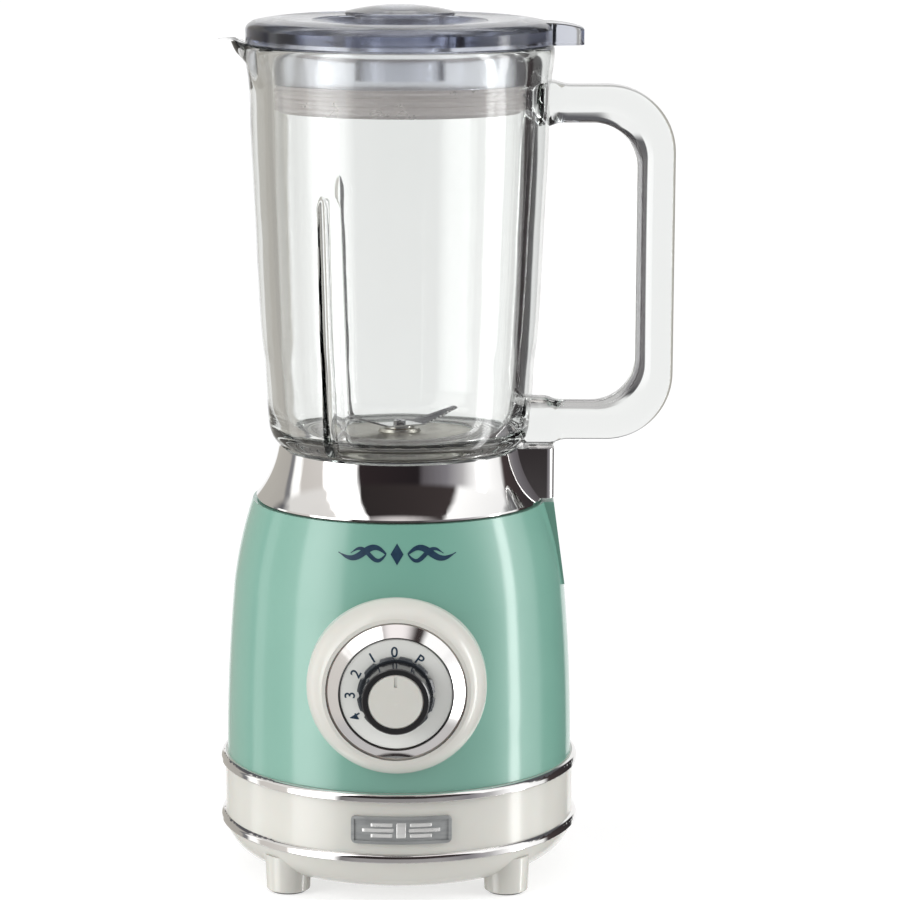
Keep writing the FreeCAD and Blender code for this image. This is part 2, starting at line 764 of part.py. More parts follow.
def make_drive_coupling():
    star = new_body("drive_star")
    pad(star, "star_hub", "XY_Plane", circle("0", "0", "8.5"), "10.5", "180.5")
    around(star, pad(star, "star_tooth", "XY_Plane", rectangle("8.8", "5.4", "0", "5"), "10.5", "180.5"), 6)
    pocket(star, "star_bore", "XY_Plane", circle("0", "0", "shaft_radius"), "4", "180")
    sub_part(star, "drive_coupling")


def make_motor_mount():
    plate = cut("mount_plate_blank", cylinder("mount_plate_disc", "67", "2.5", "0", "0", "151.3"),
                cylinder("mount_plate_hole", "16", "6", "0", "0", "150"),
                box("mount_plate_notch", "30", "40", "8", "68", "0", "149"),
                *[cylinder(f"mount_screw_way_{number}", "1.9", "6", f"44 * {side_x}", f"44 * {side_y}", "150")
                  for number, (side_x, side_y) in enumerate(CORNERS)])
    sub_part(plate, "motor_mount_plate")
    grommets = [cylinder(f"grommet_{number}", "5", "5.3", f"30 * {side_x}", f"8 * {side_y}", "146")
                for number, (side_x, side_y) in enumerate(CORNERS)]
    sub_part(group("grommet_set", *grommets), "motor_rubber_mounts")
    screws = []
    for number, (side_x, side_y) in enumerate(CORNERS):
        place = (f"44 * {side_x}", f"44 * {side_y}")
        head = cylinder(f"plate_head_{number}", "3.2", "2.2", *place, "149.1")
        stem = cylinder(f"plate_stem_{number}", "1.5", "14", *place, "150.5")
        screws.append(fuse(f"plate_screw_{number}", head, stem))
    sub_part(group("plate_screw_set", *screws), "mount_screws")


def make_wiring():
    """The cord's inlet at the back, the terminals behind it and the interference capacitor."""
    inlet = turned("inlet_turned", [
        ("3.3", "-8"),
        ("4.9", "-8"),
        ("4.9", "0"),
        ("8", "0"),
        ("6.4", "4"),
        ("3.3", "4"),
    ])
    sub_part(posed(inlet, (0, value_of("ring_radius"), 38), (1, 0, 0), -90), "cord_inlet")
    block = box("terminal_body", "26", "12", "11", "0", "58", "26")
    screws = [cylinder(f"terminal_well_{number}", "2.2", "6", place, "58", "33")
              for number, place in enumerate(("-7", "7"))]
    sub_part(cut("terminal_drilled", block, *screws), "terminal_block")
    can = box("capacitor_can", "26", "10", "18", "0", "44", "98")
    sub_part(rounded("capacitor_round", can, 1.5, lambda point: point.z > 98.5), "suppressor_capacitor")


make_stator()
make_bracket("upper_bracket", "upper_motor_bracket", "26", "142", "core_base + core_height", "21", "139")
make_bracket("lower_bracket", "lower_motor_bracket", "62", "46.4", "46.4", "core_base - 46.4", "46")
make_bearings()
make_motor_screws()
make_brush_gear()
make_armature()
make_fan()
make_drive_coupling()
make_motor_mount()
make_wiring()

# ---------------------------------------------------------------- jug interlock


def make_interlock():
    pin = turned("pin_turned", [
        ("0", "160.6"),
        ("pin_radius", "160.6"),
        ("pin_radius", "187.6"),
        ("4", "187.6"),
        ("4", "189.6"),
        ("pin_radius", "189.6"),
        ("pin_radius", "collar_top - 0.6"),
        ("pin_radius - 0.6", "collar_top"),
        ("0", "collar_top"),
    ])
    placed(pin, "pin_place")
    sub_part(pin, "interlock_pin")
    housing = box("microswitch_case", "9", "20", "11", "pin_place - 0.5", "0", "switch_top - 11")
    button = cylinder("microswitch_button", "1.6", "1.6", "pin_place", "0", "switch_top")
    hangers = [box(f"microswitch_hanger_{number}", "3", "3", "body_top - body_wall - switch_top + 0.5",
                   "pin_place - 1", f"{side} * 8.4", "switch_top - 0.5")
               for number, side in enumerate((-1, 1))]
    sub_part(fuse("microswitch", housing, button, *hangers), "interlock_switch")
    coil = doc.addObject("Part::Helix", "spring_line")
    coil.Pitch = 2.2
    coil.Height = 9.2
    coil.Radius = 3.3
    placed(coil, "pin_place", "0", "177.5")
    wire = doc.addObject("Part::Circle", "spring_wire")
    wire.Radius = 0.35
    wire.Placement = FreeCAD.Placement(FreeCAD.Vector(value_of("pin_place") + 3.3, 0, 177.5),
                                       FreeCAD.Rotation(FreeCAD.Vector(1, 0, 0), 90))
    spring = doc.addObject("Part::Sweep", "spring")
    spring.Sections = [wire]
    spring.Spine = (coil, ["Edge1"])
    spring.Solid = True
    spring.Frenet = True
    doc.recompute()
    sub_part(spring, "interlock_spring")


make_interlock()

# ---------------------------------------------------------------- glass jug

JUG_OUTSIDE = [
    ("0", "neck_base"),
    ("neck_radius", "neck_base"),
    ("neck_radius", "jug_base"),
    ("54.5", "jug_base", "10"),
    ("60.6", "jug_base + 9.5"),
    ("62.2", "238.5"),
    ("65.2", "278", "600"),
    ("68.6", "362"),
    ("jug_rim_radius", "376.5"),
    ("jug_rim_radius", "jug_rim - 1", "1"),
    ("jug_rim_radius - 1", "jug_rim"),
    ("0", "jug_rim"),
]

JUG_INSIDE = [
    ("0", "neck_base - 1"),
    ("jug_opening", "neck_base - 1"),
    ("jug_opening", "jug_floor"),
    ("46", "jug_floor", "7"),
    ("52.6", "jug_floor + 8"),
    ("54.4", "250", "1800"),
    ("57.8", "356"),
    ("58.8", "jug_rim + 1"),
    ("0", "jug_rim + 1"),
]


def make_handle():
    handle = new_body("handle_body")
    side = [
        ("60", "handle_base"),
        ("handle_reach - 31", "handle_base", "31"),
        ("handle_reach", "handle_base + 31"),
        ("handle_reach", "handle_top - 31", "31"),
        ("handle_reach - 31", "handle_top"),
        ("60", "handle_top"),
        ("60", "handle_top - handle_bar + 0.5"),
        ("handle_reach - 38", "handle_top - handle_bar + 0.5", "-20"),
        ("handle_reach - handle_bar - 0.5", "handle_top - handle_bar - 19.5"),
        ("handle_reach - handle_bar - 0.5", "handle_base + handle_bar + 19.5", "-20"),
        ("handle_reach - 38", "handle_base + handle_bar - 0.5"),
        ("60", "handle_base + handle_bar - 0.5"),
    ]
    pad(handle, "handle_bar_pad", "XZ_Plane", lambda sketch: draw_outline(sketch, side),
        "handle_bar", midplane=True)
    half = value_of("handle_bar / 2")
    return rounded("handle_soft", handle, 5.0,
                   lambda point: abs(abs(point.y) - half) < 0.01 and point.x > 60.5)


def spout_cone(name, shrink):
    """A cone that leans outwards over the rim; shrink draws it in for the channel."""
    rings = []
    for step, (place, up, radius) in enumerate(((-60.5, 366.0, 4.5), (-67.6, 386.4, 10.6))):
        ring = doc.addObject("Part::Circle", f"{name}_ring_{step}")
        ring.Radius = radius - shrink
        ring.Placement.Base = FreeCAD.Vector(place + shrink * step * 0.2, 0, up + shrink * (0.6 if step else 2))
        rings.append(ring)
    cone = doc.addObject("Part::Loft", name)
    cone.Sections = rings
    cone.Solid = True
    cone.Ruled = True
    doc.recompute()
    return cone


def make_glass_jug():
    outside = turned("jug_outside", JUG_OUTSIDE)
    inside = turned("jug_inside", JUG_INSIDE)
    lug = box("handle_lug", "15", "16", "4", "64.5", "0", "collar_top + 0.3")
    block = fuse("jug_block", outside, make_handle(), spout_cone("spout", 0.0), lug)
    lid_room = cylinder("lid_room", "lid_radius + 0.6", "10", "0", "0", "jug_rim")
    flutes = []
    for number, turn in enumerate((120, 240)):
        flute = cylinder(f"flute_{number}", "flute_radius", "150")
        flutes.append(posed(flute, (61.6, 0, 195), (0, 1, 0), 5.8, turn))
    jug = cut("jug_hollow", block, inside, lid_room, spout_cone("spout_channel", 3.0), *flutes)
    sub_part(jug, "glass_jug")


make_glass_jug()

# ---------------------------------------------------------------- blade unit


def make_holder():
    holder = turned("holder_turned", [
        ("30.4", "holder_base"),
        ("46.5", "holder_base"),
        ("46.5", "jug_base - 3"),
        ("neck_radius + 0.4", "jug_base - 3"),
        ("neck_radius + 0.4", "neck_base - 1.5"),
        ("jug_opening - 0.6", "neck_base - 1.5"),
        ("jug_opening - 0.6", "jug_floor - 1.5"),
        ("10", "jug_floor - 1.5"),
        ("9", "hub_top"),
        ("6.5", "hub_top"),
        ("6.5", "198"),
        ("11", "198"),
        ("11", "200.8"),
        ("30.4", "200.8"),
    ])
    rib = rectangle("46.8", "2.4", "0", "3")
    around(holder, pad(holder, "holder_rib", "XY_Plane", rib, "jug_base - 3.5 - holder_base",
                       "holder_base + 0.2"), 24)
    sub_part(holder, "blade_holder")
    seal = turned("seal_turned", [
        ("jug_opening", "neck_base - 1.5"),
        ("neck_radius", "neck_base - 1.5"),
        ("neck_radius", "neck_base"),
        ("jug_opening", "neck_base"),
    ])
    sub_part(seal, "jug_seal")
    sub_part(tube("bush_ring", "6.5", "shaft_radius + running_gap", "hub_top - 198", "198"),
             "blade_bearing")


def make_blade():
    """A strip with both arms bent up, each with one slanted edge and one saw-toothed edge."""
    blade = new_body("blade_body")
    section = [
        ("-9", "blade_base"),
        ("9", "blade_base"),
        ("blade_reach", "blade_base + 7.6"),
        ("blade_reach - 0.4", "blade_base + 8.5"),
        ("8.7", "blade_base + 1"),
        ("-8.7", "blade_base + 1"),
        ("-blade_reach + 0.4", "blade_base + 8.5"),
        ("-blade_reach", "blade_base + 7.6"),
    ]
    pad(blade, "blade_strip", "XZ_Plane", lambda sketch: draw_outline(sketch, section), "13", midplane=True)
    for number, side in enumerate((-1, 1)):
        corner = [
            (f"9 * {side}", f"7 * {side}"),
            (f"(blade_reach + 2) * {side}", f"-5 * {side}"),
            (f"(blade_reach + 2) * {side}", f"7 * {side}"),
        ]
        pocket(blade, f"blade_edge_{number}", "XY_Plane", lambda sketch: draw_outline(sketch, corner),
               "20", "blade_base - 2")
        for tooth in range(8):
            gap = circle(f"{side} * ({11.4 + 1.9 * tooth})", f"{side} * -7", "1.05")
            pocket(blade, f"blade_gap_{number}_{tooth}", "XY_Plane", gap, "20", "blade_base - 2")
    pocket(blade, "blade_hole", "XY_Plane", circle("0", "0", "stud_radius"), "20", "blade_base - 2")
    blade.Placement.Rotation = FreeCAD.Rotation(FreeCAD.Vector(0, 0, 1), 30)
    sub_part(blade, "cutting_blade")


def make_blade_drive():
    shaft = turned("blade_rod", [
        ("0", "192.5"),
        ("shaft_radius", "192.5"),
        ("shaft_radius", "hub_top + 0.4"),
        ("stud_radius", "hub_top + 0.4"),
        ("stud_radius", "blade_base + 3.2"),
        ("stud_radius - 0.5", "blade_base + 3.6"),
        ("0", "blade_base + 3.6"),
    ])
    sub_part(shaft, "blade_shaft")
    washer = tube("washer_ring", "7", "stud_radius", "blade_base - hub_top - 0.4", "hub_top + 0.4")
    sub_part(washer, "blade_washer")
    nut = new_body("nut_body")
    hexagon = [(f"2.9 * cos({60 * number})", f"2.9 * sin({60 * number})") for number in range(6)]
    pad(nut, "nut_hexagon", "XY_Plane", lambda sketch: draw_outline(sketch, hexagon), "2", "blade_base + 1")
    pocket(nut, "nut_thread", "XY_Plane", circle("0", "0", "stud_radius"), "4", "blade_base")
    sub_part(nut, "blade_nut")


def make_driven_coupling():
    cup = new_body("driven_cup")
    pad(cup, "cup_blank", "XY_Plane", circle("0", "0", "16"), "12", "184.5")
    pocket(cup, "cup_hollow", "XY_Plane", circle("0", "0", "9.1"), "8", "184.4")
    around(cup, pocket(cup, "cup_slot", "XY_Plane", rectangle("9.4", "5.8", "0", "6.2"), "8", "184.4"), 6)
    pocket(cup, "cup_bore", "XY_Plane", circle("0", "0", "shaft_radius"), "13", "184")
    sub_part(cup, "driven_coupling")


make_holder()
make_blade()
make_blade_drive()
make_driven_coupling()

# ---------------------------------------------------------------- lid and measuring cap


def make_lid_tab():
    """The thumb tab, with a top that slopes down from the crown and rounded upper edges."""
    outline = [
        ("56", "-13.5"),
        ("69", "-13.5"),
        ("78.5", "-11.2", "6.5"),
        ("83.6", "-5", "40"),
        ("83.6", "5", "6.5"),
        ("78.5", "11.2"),
        ("69", "13.5"),
        ("56", "13.5"),
    ]
    side = [
        ("56", "lid_base"),
        ("84", "lid_base"),
        ("84", "lid_base + 7.4", "60"),
        ("66", "lid_crown - 0.6"),
        ("56", "lid_crown - 0.2"),
    ]
    plan = new_body("tab_plan")
    pad(plan, "tab_plan_pad", "XY_Plane", lambda sketch: draw_outline(sketch, outline), "12", "lid_base")
    slope = new_body("tab_slope")
    pad(slope, "tab_slope_pad", "XZ_Plane", lambda sketch: draw_outline(sketch, side), "30", midplane=True)
    return rounded("tab_soft", common("tab_sharp", plan, slope), 1.8,
                   lambda point: point.z > value_of("lid_base + 7") and point.x > 66)


def make_lid():
    """The cover with its plug, a soft shoulder, a crown and a recess round the measuring cap."""
    lid = turned("lid_turned", [
        ("neck_bore", "plug_base + 22"),
        ("neck_bore + 2.2", "plug_base + 22"),
        ("neck_bore + 2.2", "lid_base + 1.5"),
        ("plug_radius - 2.4", "lid_base + 1.5"),
        ("plug_radius - 2.4", "plug_base + 0.5"),
        ("plug_radius - 1", "plug_base + 0.5"),
        ("plug_radius - 1", "plug_base + 13"),
        ("plug_radius + 1.5", "plug_base + 13.5"),
        ("plug_radius + 2.2", "lid_base"),
        ("lid_radius - 0.6", "lid_base"),
        ("lid_radius", "lid_base + 0.6"),
        ("lid_radius", "lid_base + 7", "5.5"),
        ("lid_radius - 4.2", "lid_crown - 0.4", "60"),
        ("lid_radius - 13", "lid_crown + 0.9", "-90"),
        ("lid_ring_radius + 1.2", "lid_crown", "0.9"),
        ("lid_ring_radius + 0.3", "lid_crown - 0.6"),
        ("lid_ring_radius - 7.8", "lid_base + 6.6"),
        ("neck_bore", "lid_base + 6.4"),
    ])
    sub_part(fuse("lid_with_tab", lid, make_lid_tab()), "lid_cover")


def make_gasket():
    """A sleeve round the plug with three soft lips."""
    lips = []
    for base in (1.2, 5.2, 9.2):
        lips += [
            ("plug_radius + 0.8", f"plug_base + {base}"),
            ("plug_radius + 1.9", f"plug_base + {base} + 0.5"),
            ("plug_radius + 1.9", f"plug_base + {base} + 1.7"),
            ("plug_radius + 0.8", f"plug_base + {base} + 2.6"),
        ]
    gasket = turned("gasket_turned", [
        ("plug_radius - 2.4", "plug_base"),
        ("plug_radius - 0.4", "plug_base"),
        *lips,
        ("plug_radius + 0.8", "plug_base + 13"),
        ("plug_radius - 1", "plug_base + 13"),
        ("plug_radius - 1", "plug_base + 0.5"),
        ("plug_radius - 2.4", "plug_base + 0.5"),
    ])
    sub_part(gasket, "lid_gasket")


def make_cap():
    cap = turned("cap_turned", [
        ("0", "cap_top - 3"),
        ("neck_bore - 3.2", "cap_top - 3"),
        ("neck_bore - 3.2", "plug_base + 17"),
        ("neck_bore - 1", "plug_base + 17"),
        ("neck_bore - 0.5", "lid_base + 6.1"),
        ("neck_bore - 0.5", "cap_top - 5.2"),
        ("cap_radius - 0.8", "cap_top - 4.8"),
        ("cap_radius", "cap_top - 4", "1"),
        ("cap_radius - 1", "cap_top - 3", "((cap_radius - 1) ^ 2 + 9) / 6"),
        ("0", "cap_top"),
    ])
    sub_part(cap, "measuring_cap")


make_lid()
make_gasket()
make_cap()

# ---------------------------------------------------------------- check and write

doc.recompute()
failed = [item.Label for item in doc.Objects if "Invalid" in item.State or "Error" in item.State]
failed += [item.Label for item in subparts if item.Shape.isNull() or not item.Shape.isValid()]
if failed:
    raise RuntimeError(f"these objects failed: {failed}")

os.makedirs("parts", exist_ok=True)
for item in subparts:
    item.Shape.exportStep(f"parts/{item.Label}.step")
    print(item.Label, len(item.Shape.Solids), round(item.Shape.Volume / 1000, 2))
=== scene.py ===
import json
import math

import bmesh
import bpy
from mathutils import Matrix, Vector


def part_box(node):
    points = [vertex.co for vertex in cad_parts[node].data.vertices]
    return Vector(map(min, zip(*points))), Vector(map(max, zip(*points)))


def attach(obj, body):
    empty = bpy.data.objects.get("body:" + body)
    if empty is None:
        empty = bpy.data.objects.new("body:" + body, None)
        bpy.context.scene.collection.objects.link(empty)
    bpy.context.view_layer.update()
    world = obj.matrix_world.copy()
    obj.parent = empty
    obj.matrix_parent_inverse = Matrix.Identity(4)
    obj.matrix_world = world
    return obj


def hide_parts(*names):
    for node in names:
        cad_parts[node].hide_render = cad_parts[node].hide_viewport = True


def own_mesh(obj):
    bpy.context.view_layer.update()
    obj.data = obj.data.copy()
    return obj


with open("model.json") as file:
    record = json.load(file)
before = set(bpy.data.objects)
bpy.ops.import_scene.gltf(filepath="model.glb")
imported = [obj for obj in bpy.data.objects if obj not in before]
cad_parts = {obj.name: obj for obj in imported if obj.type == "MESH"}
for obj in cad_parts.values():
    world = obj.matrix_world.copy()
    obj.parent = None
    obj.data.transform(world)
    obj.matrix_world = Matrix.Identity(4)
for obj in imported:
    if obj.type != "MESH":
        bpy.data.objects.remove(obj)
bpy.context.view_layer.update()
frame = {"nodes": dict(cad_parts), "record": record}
nodes = frame["nodes"]
record = frame["record"]

MM = 0.001
CREASE_ANGLE = 40  # degrees; sharper edges stay crisp


# ---------------------------------------------------------------- small helpers


def smooth_step(value):
    """0 below 0, 1 above 1 and a smooth rise between them."""
    held = min(max(value, 0.0), 1.0)
    return held * held * (3 - 2 * held)


def mesh_object(name, vertices, faces):
    """A new object in the scene from its points and faces, with smooth shading."""
    mesh = bpy.data.meshes.new(name)
    mesh.from_pydata([tuple(point) for point in vertices], [], faces)
    mesh.validate()
    piece = bpy.data.objects.new(name, mesh)
    bpy.context.scene.collection.objects.link(piece)
    soften(piece, CREASE_ANGLE)
    return piece


def soften(piece, angle):
    """Smooth shading, with edges sharper than the angle left crisp."""
    piece.data.shade_smooth()
    piece.data.set_sharp_from_angle(angle=math.radians(angle))


def bake_modifiers(piece):
    """Replace the mesh of a piece by its mesh with every modifier applied."""
    depsgraph = bpy.context.evaluated_depsgraph_get()
    mesh = bpy.data.meshes.new_from_object(piece.evaluated_get(depsgraph))
    piece.modifiers.clear()
    old = piece.data
    piece.data = mesh
    bpy.data.meshes.remove(old)
    return piece


def join_solids(piece, *others):
    """One closed skin round a piece and the others, which are then removed."""
    for other in others:
        union = piece.modifiers.new("union", "BOOLEAN")
        union.operation = "UNION"
        union.solver = "EXACT"
        union.object = other
    bake_modifiers(piece)
    for other in others:
        bpy.data.objects.remove(other)
    return piece


def install(piece, body, material):
    """Give a piece its material and slot, and let it ride on its body."""
    piece.data.materials.clear()
    piece.data.materials.append(material)
    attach(piece, body)
    return piece


def grid_faces(rows, columns, close_rows=False):
    """Quads over a grid of points stored row by row, each row a closed ring."""
    faces = []
    for row in range(rows if close_rows else rows - 1):
        below = (row + 1) % rows
        for column in range(columns):
            beside = (column + 1) % columns
            faces.append((row * columns + column, row * columns + beside,
                          below * columns + beside, below * columns + column))
    return faces


# ---------------------------------------------------------------- materials


class Surface:
    """A node material round one Principled shader, in the object's own metres."""

    def __init__(self, name, **constants):
        self.material = bpy.data.materials.new(name)
        self.material.use_nodes = True
        self.tree = self.material.node_tree
        self.tree.nodes.clear()
        self.output = self.add("ShaderNodeOutputMaterial")
        self.shader = self.add("ShaderNodeBsdfPrincipled")
        self.link(self.shader.outputs[0], self.output.inputs["Surface"])
        self.place = self.add("ShaderNodeTexCoord").outputs["Object"]
        for socket, value in constants.items():
            self.shader.inputs[socket.replace("_", " ")].default_value = value

    def add(self, kind, **settings):
        node = self.tree.nodes.new(kind)
        for setting, value in settings.items():
            setattr(node, setting, value)
        return node

    def link(self, source, target):
        self.tree.links.new(source, target)

    def noise(self, size, detail=3.0, stretch=(1, 1, 1)):
        """Noise with features of about the given size in metres, squeezed along the stretched axes."""
        mapping = self.add("ShaderNodeMapping")
        mapping.inputs["Scale"].default_value = stretch
        self.link(self.place, mapping.inputs["Vector"])
        texture = self.add("ShaderNodeTexNoise")
        texture.inputs["Scale"].default_value = 1 / size
        texture.inputs["Detail"].default_value = detail
        self.link(mapping.outputs[0], texture.inputs["Vector"])
        return texture.outputs["Fac"]

    def wave(self, pitch, axis, profile="SIN", distortion=0.0):
        """Straight bands a pitch apart in metres, across the given axis."""
        texture = self.add("ShaderNodeTexWave", bands_direction=axis, wave_profile=profile)
        texture.inputs["Scale"].default_value = math.pi / 10 / pitch
        texture.inputs["Distortion"].default_value = distortion
        self.link(self.place, texture.inputs["Vector"])
        return texture.outputs["Fac"]

    def remap(self, source, low, high, start=0.3, end=0.7):
        """A value that goes from low to high while the source goes from start to end."""
        node = self.add("ShaderNodeMapRange")
        node.inputs["From Min"].default_value = start
        node.inputs["From Max"].default_value = end
        node.inputs["To Min"].default_value = low
        node.inputs["To Max"].default_value = high
        self.link(source, node.inputs["Value"])
        return node.outputs["Result"]

    def colour(self, source, low, high, start=0.3, end=0.7):
        ramp = self.add("ShaderNodeValToRGB")
        ramp.color_ramp.elements[0].position = start
        ramp.color_ramp.elements[0].color = (*low, 1)
        ramp.color_ramp.elements[1].position = end
        ramp.color_ramp.elements[1].color = (*high, 1)
        self.link(source, ramp.inputs["Fac"])
        self.link(ramp.outputs["Color"], self.shader.inputs["Base Color"])

    def roughness(self, source, low, high, start=0.3, end=0.7):
        self.link(self.remap(source, low, high, start, end), self.shader.inputs["Roughness"])

    def bump(self, source, height):
        """Relief of the given height in metres; a second call lies on top of the first."""
        node = self.add("ShaderNodeBump")
        node.inputs["Distance"].default_value = height
        node.inputs["Strength"].default_value = 1.0
        self.link(source, node.inputs["Height"])
        normal = self.shader.inputs["Normal"]
        if normal.is_linked:
            self.link(normal.links[0].from_socket, node.inputs["Normal"])
        self.link(node.outputs["Normal"], normal)

    def absorb(self, colour, density):
        """Tint the inside, more deeply the longer the light's way through it."""
        absorption = self.add("ShaderNodeVolumeAbsorption")
        absorption.inputs["Color"].default_value = (*colour, 1)
        absorption.inputs["Density"].default_value = density
        self.link(absorption.outputs[0], self.output.inputs["Volume"])


def tinted(colour, factor):
    """A colour made lighter or darker."""
    return tuple(min(channel * factor, 1.0) for channel in colour)


def moulded_plastic(name, colour, low, high, grain=0.6 * MM, relief=0.012 * MM, **constants):
    """Moulded plastic: a faint flow in its colour, uneven gloss and a fine orange peel."""
    surface = Surface(name, **constants)
    surface.colour(surface.noise(45 * MM, 4), tinted(colour, 0.965), tinted(colour, 1.03))
    surface.roughness(surface.noise(14 * MM, 5), low, high)
    surface.bump(surface.noise(grain, 2), relief)
    return surface.material


def brushed_metal(name, colour, low, high, stretch):
    """Drawn or ground metal: fine lines along the axis with the smallest stretch."""
    surface = Surface(name, Metallic=1.0)
    lines = surface.noise(1.2 * MM, 4, stretch)
    surface.colour(lines, tinted(colour, 0.86), tinted(colour, 1.1))
    surface.roughness(surface.noise(6 * MM, 4, stretch), low, high)
    surface.bump(lines, 0.01 * MM)
    return surface.material


def polished_chrome():
    """Plated chrome: bright, with faint handling haze and the soft waviness of the moulding below."""
    surface = Surface("chrome", Metallic=1.0)
    surface.colour(surface.noise(60 * MM, 3), (0.80, 0.79, 0.78), (0.90, 0.89, 0.88))
    surface.roughness(surface.noise(9 * MM, 6), 0.02, 0.075, 0.35, 0.75)
    surface.bump(surface.noise(30 * MM, 1), 0.04 * MM)
    return surface.material


def mint_enamel():
    """Mint green gloss enamel under a clear coat, with a trace of orange peel and fine dust."""
    surface = Surface("mint_enamel", Coat_Weight=0.9, Coat_Roughness=0.09, Coat_IOR=1.5,
                      Specular_IOR_Level=0.7)
    surface.colour(surface.noise(70 * MM, 4), (0.140, 0.318, 0.252), (0.152, 0.334, 0.266))
    surface.roughness(surface.noise(18 * MM, 5), 0.34, 0.42)
    surface.bump(surface.noise(1.6 * MM, 2), 0.003 * MM)
    return surface.material


def clear_glass():
    """Pressed soda glass: clear, faintly green in its thickness, with the slow waves of the mould."""
    surface = Surface("pressed_glass", Transmission_Weight=1.0, IOR=1.5)
    surface.colour(surface.noise(80 * MM, 2), (0.975, 0.985, 0.98), (0.99, 0.995, 0.99))
    surface.roughness(surface.noise(20 * MM, 4), 0.0, 0.012)
    surface.bump(surface.noise(26 * MM, 1), 0.10 * MM)
    surface.absorb((0.64, 0.675, 0.64), 10.0)
    return surface.material


def tinted_clear(name, colour, low, high, transmission):
    """Clear tinted plastic or silicone that lets light through."""
    surface = Surface(name, Transmission_Weight=transmission, IOR=1.46)
    surface.colour(surface.noise(40 * MM, 3), tinted(colour, 0.97), tinted(colour, 1.02))
    surface.roughness(surface.noise(11 * MM, 5), low, high)
    surface.bump(surface.noise(2.5 * MM, 2), 0.006 * MM)
    return surface.material


def with_painted_glow(material, strength):
    """Give a milky material a faint painted glow: an emission that stands in for light that does not reach
    it through the glass.
    """
    shader = next(node for node in material.node_tree.nodes if node.type == "BSDF_PRINCIPLED")
    shader.inputs["Emission Color"].default_value = (1.0, 0.94, 0.92, 1)
    shader.inputs["Emission Strength"].default_value = strength
    return material


def smoke_plastic():
    """Clear blue-grey lid plastic, pale where it is thin and navy along its edges."""
    surface = Surface("smoke_plastic", Transmission_Weight=1.0, IOR=1.49)
    surface.colour(surface.noise(40 * MM, 3), (0.93, 0.935, 0.96), (0.97, 0.975, 0.99))
    surface.roughness(surface.noise(11 * MM, 5), 0.10, 0.16)
    surface.bump(surface.noise(3 * MM, 2), 0.004 * MM)
    surface.absorb((0.42, 0.46, 0.58), 24.0)
    return surface.material


def satin_badge(name, dark, light, low, high):
    """Satin silvering on a plastic badge, with a faint brushed grain."""
    surface = Surface(name, Metallic=0.35)
    grain = surface.noise(1.5 * MM, 4, ALONG_X)
    surface.colour(grain, dark, light)
    surface.roughness(surface.noise(4 * MM, 4, ALONG_X), low, high)
    surface.bump(grain, 0.01 * MM)
    return surface.material


def wound_copper():
    """Enamelled copper wire, wound in even turns, with painted shade in the grooves between turns and a
    painted highlight along each turn.
    """
    surface = Surface("copper_wire", Metallic=0.9)
    turns = surface.wave(0.7 * MM, "Z", distortion=0.4)
    # Dark in the grooves and bright on the crests of the turns: painted shade and painted highlight.
    surface.colour(turns, (0.30, 0.10, 0.035), (0.74, 0.33, 0.14), 0.1, 0.8)
    surface.roughness(surface.noise(4 * MM), 0.25, 0.45)
    surface.bump(turns, 0.25 * MM)
    return surface.material


def stacked_sheet():
    """A stack of thin steel sheets with dark gaps."""
    surface = Surface("lamination", Metallic=0.9)
    sheets = surface.wave(0.5 * MM, "Z")
    surface.colour(sheets, (0.13, 0.125, 0.12), (0.36, 0.36, 0.37), 0.1, 0.7)
    surface.roughness(surface.noise(5 * MM), 0.35, 0.6)
    surface.bump(sheets, 0.08 * MM)
    return surface.material


def sand_cast():
    """Grainy cast metal."""
    surface = Surface("cast_bracket", Metallic=1.0)
    surface.colour(surface.noise(3 * MM, 5), (0.42, 0.42, 0.43), (0.62, 0.62, 0.63))
    surface.roughness(surface.noise(2 * MM, 4), 0.4, 0.6)
    surface.bump(surface.noise(0.9 * MM, 4), 0.08 * MM)
    return surface.material


def rubber(name, colour):
    """Dull rubber, dusty in patches."""
    surface = Surface(name)
    surface.colour(surface.noise(6 * MM, 5), tinted(colour, 0.8), tinted(colour, 1.3))
    surface.roughness(surface.noise(3 * MM, 4), 0.62, 0.85)
    surface.bump(surface.noise(0.7 * MM, 4), 0.05 * MM)
    return surface.material


def printed_board():
    """Green circuit board with winding tracks."""
    surface = Surface("board_green")
    tracks = surface.wave(1.6 * MM, "X", profile="TRI", distortion=6.0)
    surface.colour(tracks, (0.012, 0.09, 0.035), (0.03, 0.20, 0.08), 0.45, 0.55)
    surface.roughness(surface.noise(5 * MM), 0.25, 0.4)
    surface.bump(tracks, 0.04 * MM)
    return surface.material


CREAM = (0.545, 0.54, 0.50)
ALONG_Z = (1, 1, 0.03)
ALONG_X = (0.03, 1, 1)

